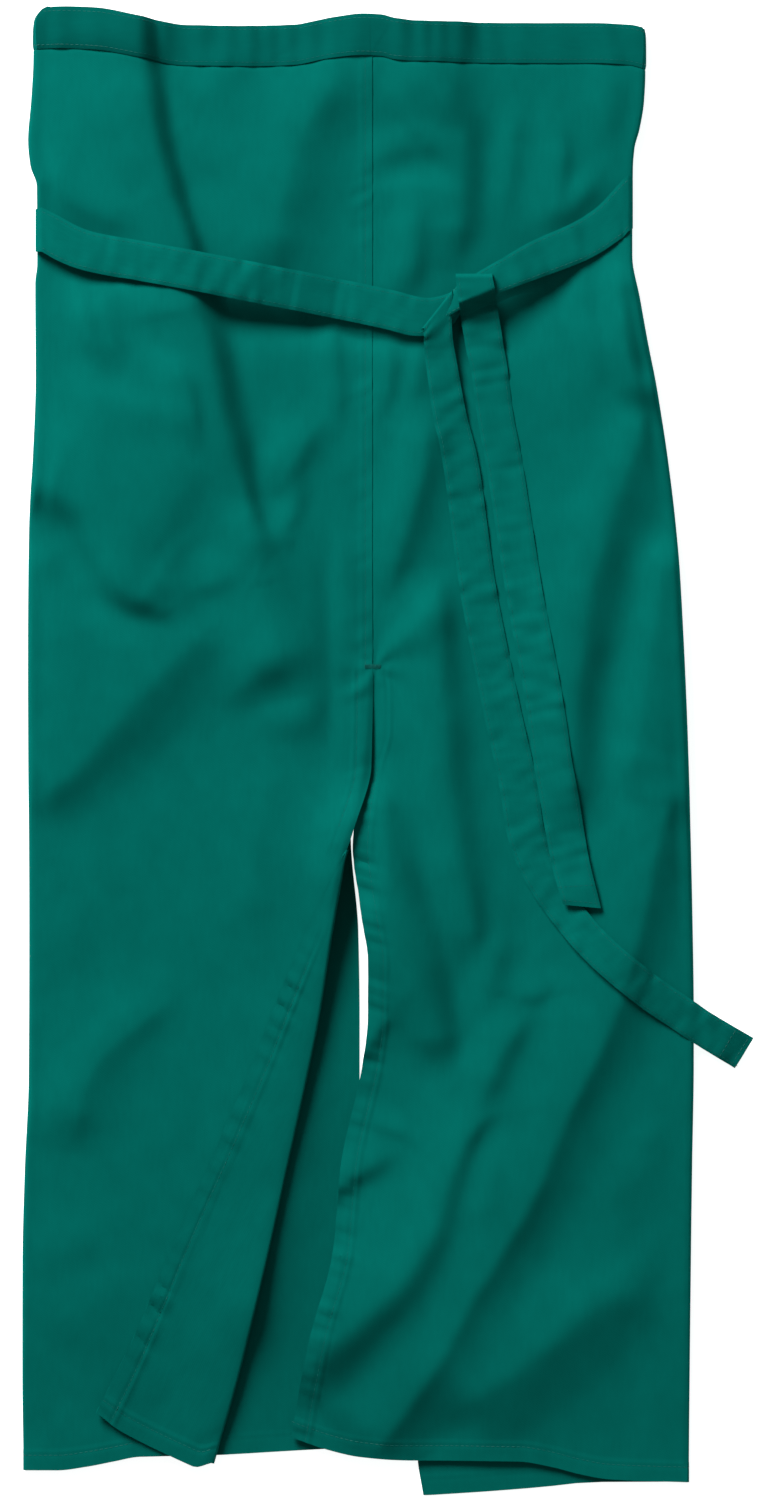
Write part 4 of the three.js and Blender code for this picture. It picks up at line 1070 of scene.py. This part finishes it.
def build_half(side, name):
    """Builds one half with its hems and stitches and, on the left, the turned-back edge."""
    half = HALVES[side]
    sign = half["sign"]
    points, places, thick, columns, rows, hem, top = half_surface(half)
    count_rows, count_columns = points.shape[:2]
    quads = grid_quads(count_rows, count_columns, flip=sign > 0)
    all_points, all_places, all_thick = (g.reshape(-1, *g.shape[2:]) for g in (points, places, thick))
    width = size_of("hem") - STITCH_INSET
    if sign < 0:
        turned = int(np.sum(points[:, -1, 1] < FLAP_TOP))
        flap, flap_places, flap_thick, from_free, flap_long = flap_surface(
            points[:turned], places[:turned], thick[:turned], points[:turned, -1, 1] - hem[-1])
        start = len(all_points)
        wide = flap.shape[1]
        lead = (np.arange(turned) + 1) * count_columns - 1
        own = start + np.arange(turned * wide).reshape(turned, wide)
        at = np.concatenate([lead[:, None], own], axis=1)
        flap_quads = np.stack([at[:-1, :-1], at[:-1, 1:], at[1:, 1:], at[1:, :-1]], axis=2)
        quads = np.concatenate([quads, flap_quads.reshape(-1, 4)])
        all_points = np.concatenate([all_points, flap.reshape(-1, 3)])
        all_places = np.concatenate([all_places, flap_places.reshape(-1, 3)])
        all_thick = np.concatenate([all_thick, flap_thick.reshape(-1)])
    wall, faces, normals = cloth_wall(all_points, quads, all_thick)
    count = len(all_points)
    grid_normals = normals[:count_rows * count_columns].reshape(count_rows, count_columns, 3)
    grid_outer = wall[:count_rows * count_columns].reshape(count_rows, count_columns, 3)
    lines = []

    def add_line(*where):
        """One more row of stitches."""
        lines.append(stitch_line(*where))

    every = np.arange(count_columns, dtype=float)
    add_line(grid_outer, grid_normals, row_at(rows, width / (top - hem)), every)
    tall = np.arange(count_rows, dtype=float)
    front_first = WING_COLUMNS + SIDE_COLUMNS
    edge_wide = np.abs(points[:, front_first, 0] - points[:, -1, 0])

    def inner_column(distance, keep):
        """Column number at a distance from the inner edge, row by row."""
        share = 3 - distance / edge_wide[keep]
        return np.interp(share, columns, every)

    level = points[:, -1, 1]
    if sign < 0:
        above = level > SPLIT_TOP
        add_line(grid_outer, grid_normals, tall[above], inner_column(SEAM_WIDTH - STITCH_INSET, above))
        open_edge = (level > OPEN_EDGE[0]) & (level < OPEN_EDGE[1])
        add_line(grid_outer, grid_normals, tall[open_edge], inner_column(width, open_edge))
        flap_outer = wall[count + start:].reshape(turned, wide, 3)
        flap_normals = -normals[start:].reshape(turned, wide, 3)
        keep = flap_long > FLAP_STITCH_LEAST
        flap_column = np.interp(1 - width / flap_long[keep], 1 - from_free[0] / flap_long[0],
                                ROLL_COLUMNS + np.arange(wide - ROLL_COLUMNS))
        add_line(flap_outer, flap_normals, np.arange(turned, dtype=float)[keep], flap_column)
        hem_row = np.full(wide - ROLL_COLUMNS, row_at(rows, width / (top[-1] - hem[-1])))
        add_line(flap_outer, flap_normals, hem_row, np.arange(ROLL_COLUMNS, wide, dtype=float))
        tack_x = SEAM_X + np.linspace(-TACK_HALF, TACK_HALF, TACK_POINTS)
        tack_y = np.full(TACK_POINTS, SPLIT_TOP + 1.0)
        tack_z = front_height(tack_x, tack_y) + tack_puckers(tack_x, tack_y) + TACK_PROUD
        upright = np.tile((0.0, 0.0, 1.0), (TACK_POINTS, 1))
        lines.append((np.stack([tack_x, tack_y, tack_z], axis=1), upright, *TACK_STITCH, True))
    else:
        below = level < RIGHT_EDGE_TOP
        add_line(grid_outer, grid_normals, tall[below], inner_column(width, below))
    material = cloth_material("dyed_apron_cloth", colour_of("cloth"))
    return sewn_piece(name, wall, faces, doubled(all_places, 1), lines, material)


def band_surface():
    """Middle surface of the waistband: the halves' own wrap, from one wing's inner edge to the other's, with
    upright ripples, puckers and a tilt of the top edge on the front."""
    height = size_of("band_height")
    share = np.linspace(0, 1, BAND_ROWS + 1)
    sides = []
    for side in ("left", "right"):
        half = HALVES[side]
        columns = half_columns(half)
        high_x = wrap(half, columns, np.full(columns.shape, BAND_LEVEL))[0]
        top = read_curve(TOP_EDGE, high_x) - WING_DROP * np.clip(1 - columns, 0, 1)
        y = top - height * (1 - share[:, None])
        column = np.broadcast_to(columns, y.shape)
        x, z, across = wrap(half, column, y)
        x = np.where(column >= 3, SEAM_X, x)
        front = column >= 2
        ripple = sum(high * np.exp(-(((x - place) / wide) ** 2)) for place, high, wide in BAND_RIPPLES)
        z = z + front * (BAND_PROUD + BAND_RIPPLE * ripple * mix(BAND_RIPPLE_LOW, 1, share[:, None]))
        z = z + front * read_curve(BAND_TILT, x) * share[:, None]
        crinkle = puckers(x, height * share[:, None] - BAND_CRINKLE_LINE, PUCKER_SEEDS["band"])
        z = z + BAND_CRINKLE * front * crinkle
        points = np.stack([x, y, z], axis=2)
        places = np.stack([y, across, 0 * y], axis=2)
        sides.append((points, places))
    (left, left_place), (right, right_place) = sides
    return (np.concatenate([left[:, :-1], right[:, ::-1]], axis=1),
            np.concatenate([left_place[:, :-1], right_place[:, ::-1]], axis=1))


def build_band(name):
    """Builds the waistband with a row of stitches along its lower and upper edges."""
    points, places = band_surface()
    rows, columns = points.shape[:2]
    share = np.linspace(-1, 1, rows)[:, None]
    thick = size_of("band") * (1 - BAND_EDGE_THIN * share ** EDGE_POWER)
    thick = np.broadcast_to(thick, (rows, columns)).reshape(-1)
    wall, faces, normals = cloth_wall(points.reshape(-1, 3), grid_quads(rows, columns), thick)
    outer = wall[:rows * columns].reshape(rows, columns, 3)
    grid_normals = normals.reshape(rows, columns, 3)
    every = np.arange(columns, dtype=float)
    lines = []
    for from_low in (BAND_STITCH_INSET, size_of("band_height") - BAND_STITCH_INSET):
        row = np.full(columns, from_low / size_of("band_height") * (rows - 1))
        lines.append(stitch_line(outer, grid_normals, row, every))
    # Painted shade: the whole band's colour is drawn darker
    material = cloth_material("band_cloth_painted_shade", colour_of("band"), BAND_PAINTED_SHADE)
    return sewn_piece(name, wall, faces, doubled(places.reshape(-1, 3)), lines, material)


def resting(height, place):
    """Bridging of dips: the highest of the parabolas that stand on every point and fall away from it."""
    fall = TIE_BRIDGE_FALL * (place[:, None] - place[None]) ** 2
    return np.max(height[None] - fall, axis=1)


def tie_stretch(kind, start_turn, end_turn, rows):
    """Grid of one tie stretch: cross lines square to its path, coming round near the ends to the slants of
    the folded edges. On the front it rests on the cloth below and bridges the dips."""
    dense = spline(rows, TIE_PATH_STEPS)
    place = walked(dense[:, :2])
    fine = TIE_BEND if kind == "bent" else TIE_END
    at = place[-1] * graded(place[-1], TIE_STEP, TIE_END_STEP, fine, TIE_END)
    x, y, wide, lift = (np.interp(at, place, dense[:, k]) for k in range(4))
    heading = np.unwrap(np.arctan2(np.gradient(y, at), np.gradient(x, at)))
    blend = min(size_of("tie_width") * TIE_LEAN_REACH, place[-1] / 2)
    lean = 0
    for turn, from_end in ((start_turn, at), (end_turn, at[-1] - at)):
        away = np.radians(turn) - heading - np.pi / 2
        lean = lean + (1 - ramp(from_end, 0, blend)) * (away - np.pi * np.round(away / np.pi))
    half = size_of("tie_width") * wide / 2 / np.cos(lean)
    angle = heading + np.pi / 2 + lean
    across = half[:, None] * np.stack([np.cos(angle), np.sin(angle)], axis=1)
    share = np.linspace(-1, 1, TIE_COLUMNS + 1)
    plan = np.stack([x, y], axis=1)[:, None] + across[:, None] * share[None, :, None]
    thick = size_of("tie")
    if kind == "floor":
        z = np.full(plan.shape[:2], thick / 2 + TIE_FLOOR_GAP)
    else:
        under = front_height(plan[:, :, 0], plan[:, :, 1])
        loose = ramp(np.hypot(x - KNOT_CENTRE[0], y - KNOT_CENTRE[1]), *KNOT_REACH)
        rest = resting(np.maximum(under.max(axis=1), KNOT_REST * (1 - loose)), at)
        sag = TIE_SAG[kind] * ramp(np.minimum(at, at[-1] - at), *TIE_SAG_RANGE) * loose
        above = size_of("cloth") / 2 + TIE_CLEARANCE + thick / 2
        z = rest[:, None] - sag[:, None] * (rest[:, None] - under) + above + lift[:, None]
        if kind == "bent":
            edge = BEND_PLACE[1] + BEND_RISE * (plan[:, :, 0] - BEND_PLACE[0])
            z = z + BEND_LIFT * ramp((plan[:, :, 1] - edge) / np.hypot(1, BEND_RISE), *BEND_RANGE)
    return np.concatenate([plan, z[:, :, None]], axis=2), across


def tie_roll(before, after, across_before, across_after, heading):
    """Half turn from the end of one stretch to the start of the next: cross lines carried round a half
    circle whose height is the step between them."""
    out = np.array([across_before[1], -across_before[0]]) / np.linalg.norm(across_before)
    out = out * np.sign(out @ heading)
    low, high = before[:, 2].mean(), after[:, 2].mean()
    radius = (high - low) / 2
    angle = np.pi * np.arange(1, TIE_ROLL_ROWS + 1)[:, None] / (TIE_ROLL_ROWS + 1)
    share = angle / np.pi
    line = np.linspace(-1, 1, TIE_COLUMNS + 1)
    centre = mix(before[:, :2].mean(axis=0), after[:, :2].mean(axis=0), share)
    across = mix(across_before, across_after, share)
    plan = centre[:, None] + across[:, None] * line[None, :, None]
    plan = plan + (TIE_ROLL_SQUEEZE * np.abs(radius) * np.sin(angle))[:, :, None] * out
    z = np.broadcast_to(low + radius * (1 - np.cos(angle)), plan.shape[:2])
    return np.concatenate([plan, z[:, :, None]], axis=2)


def tie_surface(stretches):
    """Middle surface of a whole tie: its stretches joined by half turns, the same long edge kept on the same
    side throughout. Gives the grid and which rows lie face up on the front."""
    grid, face_up = [], []
    for kind, start_turn, end_turn, rows in stretches:
        points, across = tie_stretch(kind, start_turn, end_turn, rows)
        if grid:
            last = grid[-1]
            if last_across @ across[0] < 0:
                points, across = points[:, ::-1], -across
            heading = (last[-1] - last[-2]).mean(axis=0)[:2]
            roll = tie_roll(last[-1], points[0], last_across, across[0], heading)
            grid.append(roll)
            face_up.append(np.zeros(len(roll), bool))
        grid.append(points)
        face_up.append(np.full(len(points), kind != "floor"))
        last_across = across[-1]
    return np.concatenate(grid), np.concatenate(face_up)


def build_tie(stretches, name):
    """Builds a tie: its surface with small cross puckers, stronger towards the edges, closed to a wall with
    rounded edges, and stitches along both edges and across its end."""
    grid, face_up = tie_surface(stretches)
    rows, columns = grid.shape[:2]
    middle = grid[:, columns // 2]
    place = walked(middle)[:, None]
    share = np.linspace(-1, 1, columns)
    seed = TIE_SEEDS[name]
    ripple = waves(seed, TIE_WAVES, place, 0 * place + TIE_WAVE_SHIFT * share)
    strength = TIE_STRENGTH[0] + TIE_STRENGTH[1] * waves(seed + 1, TIE_PATCHES, place, 0 * place)
    strength = strength * mix(TIE_MIDDLE_SHARE, 1, share ** 2)
    quads = grid_quads(rows, columns)
    crinkle = TIE_PUCKER * size_of("pucker") * strength * ripple
    from_fold = np.abs(place - place[~face_up].T).min(axis=1)
    open_face = (face_up * ramp(from_fold, *TIE_FOLD_FADE))[:, None]
    join = TIE_JOIN_DEPTH * np.exp(-((middle[:, 0] - TIE_JOIN_X) / TIE_JOIN_WIDTH) ** 2)
    joined_here = face_up & (middle[:, 1] > TIE_JOIN_ABOVE)
    crinkle = crinkle * open_face - np.where(joined_here, join, 0)[:, None]
    thinned = TIE_EDGE_THIN * share ** EDGE_POWER * open_face
    flat = grid.reshape(-1, 3)
    up = vertex_normals(flat, quads)
    flat = flat + up * crinkle.reshape(-1, 1)
    flat[:, 2] -= size_of("tie") / 2 * thinned.reshape(-1)
    thick = (size_of("tie") * (1 - thinned)).reshape(-1)
    wall, faces, normals = cloth_wall(flat, quads, thick)
    outer = wall[:rows * columns].reshape(rows, columns, 3)
    inner = wall[rows * columns:].reshape(rows, columns, 3)
    grid_normals = normals.reshape(rows, columns, 3)
    upper = grid_normals[:, columns // 2, 2] > 0
    seen = np.where(upper[:, None, None], outer, inner)
    seen_normals = np.where(upper[:, None, None], grid_normals, -grid_normals)
    every = np.arange(rows, dtype=float)
    lines = []
    breaks = np.flatnonzero(np.diff(face_up.astype(int))) + 1
    for edge in (TIE_STITCH_INSET, size_of("tie_width") - TIE_STITCH_INSET):
        column = np.full(rows, edge / size_of("tie_width") * (columns - 1))
        line, line_normals = stitch_line(seen, seen_normals, every, column)
        for run in np.split(np.arange(rows), breaks):
            if face_up[run[0]] and len(run) > TIE_RUN_LEAST:
                lines.append((line[run], line_normals[run]))
    across = np.linspace(TIE_END_INSET, columns - 1 - TIE_END_INSET, columns)
    for row in np.interp(place[-1, 0] - np.array(TIE_END_STITCHES), place[:, 0], every):
        lines.append(stitch_line(seen, seen_normals, np.full(columns, row), across))
    places = np.stack(np.broadcast_arrays(share * size_of("tie_width") / 2, place, 0 * place), axis=2)
    material = cloth_material("dyed_tie_cloth", colour_of("tie"), TIE_DYE)
    return sewn_piece(name, wall, faces, doubled(places.reshape(-1, 3)), lines, material)


def new_group(name, inputs, outputs):
    """Empty shader node group with named sockets; gives the group and its input and output nodes."""
    group = bpy.data.node_groups.new(name, "ShaderNodeTree")
    for label, kind in inputs:
        group.interface.new_socket(label, in_out="INPUT", socket_type=kind)
    for label, kind in outputs:
        group.interface.new_socket(label, in_out="OUTPUT", socket_type=kind)
    return group, group.nodes.new("NodeGroupInput"), group.nodes.new("NodeGroupOutput")


def math_node(tree, operation, first, second=None, third=None):
    """Math node whose inputs are sockets or numbers; gives its output socket."""
    node = tree.nodes.new("ShaderNodeMath")
    node.operation = operation
    for socket, value in zip(node.inputs, (first, second, third)):
        if isinstance(value, bpy.types.NodeSocket):
            tree.links.new(value, socket)
        elif value is not None:
            socket.default_value = value
    return node.outputs[0]


def weave_group():
    """Twill weave: fine slanting ribs with a thread beat along them, from the cloth's own place in mm; its
    second output is painted shade, darker on the low threads.
    """
    if "Twill weave" in bpy.data.node_groups:
        return bpy.data.node_groups["Twill weave"]
    group, given, result = new_group(
        "Twill weave",
        [("Cloth place", "NodeSocketVector"), ("Rib pitch", "NodeSocketFloat")],
        [("Height", "NodeSocketFloat"), ("Painted shade", "NodeSocketFloat")])
    split = group.nodes.new("ShaderNodeSeparateXYZ")
    group.links.new(given.outputs["Cloth place"], split.inputs[0])
    slant = math_node(group, "MULTIPLY_ADD", split.outputs[1], RIB_SLANT, split.outputs[0])
    beat = math_node(group, "MULTIPLY_ADD", split.outputs[0], -RIB_SLANT, split.outputs[1])
    turns = math_node(group, "DIVIDE", 2 * np.pi, given.outputs["Rib pitch"])
    rib = math_node(group, "SINE", math_node(group, "MULTIPLY", slant, turns))
    beat_turns = math_node(group, "MULTIPLY", turns, BEAT_SHARE)
    thread = math_node(group, "SINE", math_node(group, "MULTIPLY", beat, beat_turns))
    thread_height = math_node(group, "MULTIPLY_ADD", thread, BEAT_HEIGHT, WEAVE_MIDDLE)
    height = math_node(group, "MULTIPLY_ADD", rib, RIB_HEIGHT, thread_height)
    group.links.new(height, result.inputs["Height"])
    # Painted shade: the weave's low threads are drawn darker
    group.links.new(math_node(group, "MULTIPLY_ADD", height, *WEAVE_PAINTED_SHADE), result.inputs["Painted shade"])
    return group


def tone_group():
    """Uneven dye: shared sum of slow clouds and finer flecks drawn out along the warp, from the cloth's own
    place in mm."""
    if "Dye tone" in bpy.data.node_groups:
        return bpy.data.node_groups["Dye tone"]
    group, given, result = new_group(
        "Dye tone", [("Cloth place", "NodeSocketVector")], [("Tone", "NodeSocketFloat")])
    tone = 0.0
    for scale, detail, share in DYE_LAYERS:
        mapping = group.nodes.new("ShaderNodeMapping")
        set_inputs(mapping, {"Scale": scale})
        group.links.new(given.outputs["Cloth place"], mapping.inputs["Vector"])
        noise = group.nodes.new("ShaderNodeTexNoise")
        set_inputs(noise, {"Scale": 1.0, "Detail": detail})
        group.links.new(mapping.outputs[0], noise.inputs["Vector"])
        tone = math_node(group, "MULTIPLY_ADD", noise.outputs[0], share, tone)
    group.links.new(tone, result.inputs["Tone"])
    return group


def placed_group(tree, group, place):
    """Places a node group in a material, reading the cloth's own place."""
    node = tree.nodes.new("ShaderNodeGroup")
    node.node_tree = group
    tree.links.new(place, node.inputs["Cloth place"])
    return node


def new_material(name):
    """New material; gives it with its node tree and its shader."""
    material = bpy.data.materials.new(name)
    material.use_nodes = True
    return material, material.node_tree, material.node_tree.nodes["Principled BSDF"]


def set_inputs(node, values):
    """Sets a node's inputs by name."""
    for name, value in values.items():
        node.inputs[name].default_value = value


def shaded_colour(tree, share, colour, low, high):
    """Blend from a darker to a lighter shade of a colour; gives its output socket."""
    blend = tree.nodes.new("ShaderNodeMix")
    blend.data_type = "RGBA"
    for socket, depth in zip(blend.inputs[6:8], (low, high)):
        socket.default_value = tuple(min(1, c * depth) for c in colour) + (1,)
    tree.links.new(share, blend.inputs[0])
    return blend.outputs[2]


def cloth_material(name, colour, depth=1.0):
    """Matte dyed twill: the dye's random tone varies the colour; painted shade darkens the weave's low
    threads and the cloth's inside face, and depth darkens it all, as painted shade on the band and as a
    deeper dye on the ties. The weave sets roughness and relief."""
    if name in bpy.data.materials:
        return bpy.data.materials[name]
    material, tree, shader = new_material(name)
    place = tree.nodes.new("ShaderNodeAttribute")
    place.attribute_name = "cloth"
    weave = placed_group(tree, weave_group(), place.outputs["Vector"])
    set_inputs(weave, {"Rib pitch": RIB_PITCH})
    tone = placed_group(tree, tone_group(), place.outputs["Vector"])
    # Depth darkens the whole colour: painted shade on the band, a deeper dye on the ties
    dyed = shaded_colour(tree, tone.outputs["Tone"], colour, *(share * depth for share in DYE_RANGE))
    # Painted shade: the inside face, marked by the cloth place's third part, is drawn darker
    face = tree.nodes.new("ShaderNodeSeparateXYZ")
    tree.links.new(place.outputs["Vector"], face.inputs[0])
    inside_shade = math_node(tree, "MULTIPLY_ADD", face.outputs[2], INSIDE_PAINTED_SHADE, 1.0)
    shade = tree.nodes.new("ShaderNodeVectorMath")
    shade.operation = "SCALE"
    tree.links.new(dyed, shade.inputs[0])
    tree.links.new(math_node(tree, "MULTIPLY", weave.outputs["Painted shade"], inside_shade), shade.inputs["Scale"])
    tree.links.new(shade.outputs[0], shader.inputs["Base Color"])
    rough = math_node(tree, "MULTIPLY_ADD", weave.outputs["Height"], *WEAVE_ROUGHNESS)
    tree.links.new(rough, shader.inputs["Roughness"])
    bump = tree.nodes.new("ShaderNodeBump")
    set_inputs(bump, {"Strength": 0.5, "Distance": 0.1 * MM})
    tree.links.new(weave.outputs["Height"], bump.inputs["Height"])
    tree.links.new(bump.outputs[0], shader.inputs["Normal"])
    set_inputs(shader, {"Specular IOR Level": 0.0})
    return material


def thread_material():
    """Sewing thread: the cloth's green with a slight gloss, twisted in fine slanting plies."""
    if "green_thread" in bpy.data.materials:
        return bpy.data.materials["green_thread"]
    material, tree, shader = new_material("green_thread")
    where = tree.nodes.new("ShaderNodeTexCoord")
    plies = tree.nodes.new("ShaderNodeTexWave")
    set_inputs(plies, {"Scale": 900.0})
    plies.bands_direction = "DIAGONAL"
    tree.links.new(where.outputs["Object"], plies.inputs["Vector"])
    twisted = shaded_colour(tree, plies.outputs["Fac"], colour_of("thread"), *THREAD_RANGE)
    tree.links.new(twisted, shader.inputs["Base Color"])
    set_inputs(shader, {"Roughness": 0.6, "Specular IOR Level": 0.2})
    return material


def floor_material():
    """Plain pale floor that glows a little, as on a light table."""
    material, _, shader = new_material("pale_floor")
    set_inputs(shader, {
        "Base Color": colour_of("floor") + (1,), "Roughness": 0.9, "Specular IOR Level": 0.0,
        "Emission Color": (1, 1, 1, 1), "Emission Strength": 0.85,
    })
    return material


def add_to_scene(scene, name, data):
    """New object of the scene from its data."""
    thing = bpy.data.objects.new(name, data)
    scene.collection.objects.link(thing)
    return thing


class APRON_OT_stage(bpy.types.Operator):
    """Lay the pale floor, hang the soft light and set the camera straight above"""
    bl_idname = "apron.stage"
    bl_label = "Stage"

    def execute(self, context):
        scene = context.scene
        mesh = bpy.data.meshes.new("floor")
        signs = ((-1, -1), (1, -1), (1, 1), (-1, 1))
        corners = [(a * FLOOR_HALF, b * FLOOR_HALF, FLOOR_HEIGHT) for a, b in signs]
        mesh.from_pydata(corners, [], [(0, 1, 2, 3)])
        mesh.materials.append(floor_material())
        floor = add_to_scene(scene, "floor", mesh)
        lamp = bpy.data.lights.new("key", "AREA")
        lamp.shape = "DISK"
        lamp.size = KEY_SIZE
        lamp.energy = KEY_POWER
        key = add_to_scene(scene, "key", lamp)
        x, y, z = KEY_PLACE
        key.location = KEY_PLACE
        key.rotation_euler = (np.arctan2(np.hypot(x, y), z), 0, np.arctan2(x, -y))
        world = bpy.data.worlds.new("soft_room")
        world.use_nodes = True
        set_inputs(world.node_tree.nodes["Background"], {"Color": (1, 1, 1, 1), "Strength": ROOM_LIGHT})
        scene.world = world
        scene.view_settings.view_transform = "Standard"
        lens = bpy.data.cameras.new("camera")
        lens.lens = CAMERA_LENS
        lens.sensor_width = CAMERA_SENSOR
        lens.clip_end = CAMERA_FAR
        camera = add_to_scene(scene, "camera", lens)
        camera.location = CAMERA_PLACE
        scene.camera = camera
        return {"FINISHED"}


def dress(piece, node):
    """Rides a finished piece on the part, in place of its node."""
    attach(piece, "root")
    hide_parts(node)


class APRON_OT_halves(bpy.types.Operator):
    """Make the two cloth halves with their wings, legs, hems and folds"""
    bl_idname = "apron.halves"
    bl_label = "Cloth halves"

    def execute(self, context):
        left = build_half("left", "left_cloth")
        dress(left, "left_half")
        right = build_half("right", "right_cloth")
        dress(right, "right_half")
        return {"FINISHED"}


class APRON_OT_waistband(bpy.types.Operator):
    """Make the doubled strip along the top edge, round both sides"""
    bl_idname = "apron.waistband"
    bl_label = "Waistband"

    def execute(self, context):
        band = build_band("band_cloth")
        dress(band, "waistband")
        return {"FINISHED"}


class APRON_OT_ties(bpy.types.Operator):
    """Make the two ties, half-knotted on the front"""
    bl_idname = "apron.ties"
    bl_label = "Ties"

    def execute(self, context):
        left = build_tie(LEFT_TIE, "left_tie")
        dress(left, "tie_left")
        right = build_tie(RIGHT_TIE, "right_tie")
        dress(right, "tie_right")
        return {"FINISHED"}


class APRON_PT_panel(bpy.types.Panel):
    """Lists the apron's pieces and its sizes and colours"""
    bl_idname = "APRON_PT_panel"
    bl_label = "Split-leg apron"
    bl_space_type = "VIEW_3D"
    bl_region_type = "UI"
    bl_category = "Apron"

    def draw(self, context):
        for operator in OPERATORS:
            self.layout.operator(operator.bl_idname)
        for group in (context.scene.apron_sizes, context.scene.apron_colours):
            box = self.layout.box()
            for name in group.__annotations__:
                box.prop(group, name)


OPERATORS = (APRON_OT_stage, APRON_OT_halves, APRON_OT_waistband, APRON_OT_ties)
CLASSES = (ApronSizes, ApronColours) + OPERATORS + (APRON_PT_panel,)


def register():
    """Registers the classes and hangs the property groups on the scene."""
    for cls in CLASSES:
        bpy.utils.register_class(cls)
    bpy.types.Scene.apron_sizes = PointerProperty(type=ApronSizes)
    bpy.types.Scene.apron_colours = PointerProperty(type=ApronColours)


def unregister():
    """Takes away what register added."""
    del bpy.types.Scene.apron_colours
    del bpy.types.Scene.apron_sizes
    for cls in reversed(CLASSES):
        bpy.utils.unregister_class(cls)


def main():
    register()
    bpy.ops.apron.stage()
    bpy.ops.apron.halves()
    bpy.ops.apron.waistband()
    bpy.ops.apron.ties()


if __name__ == "__main__":
    main()
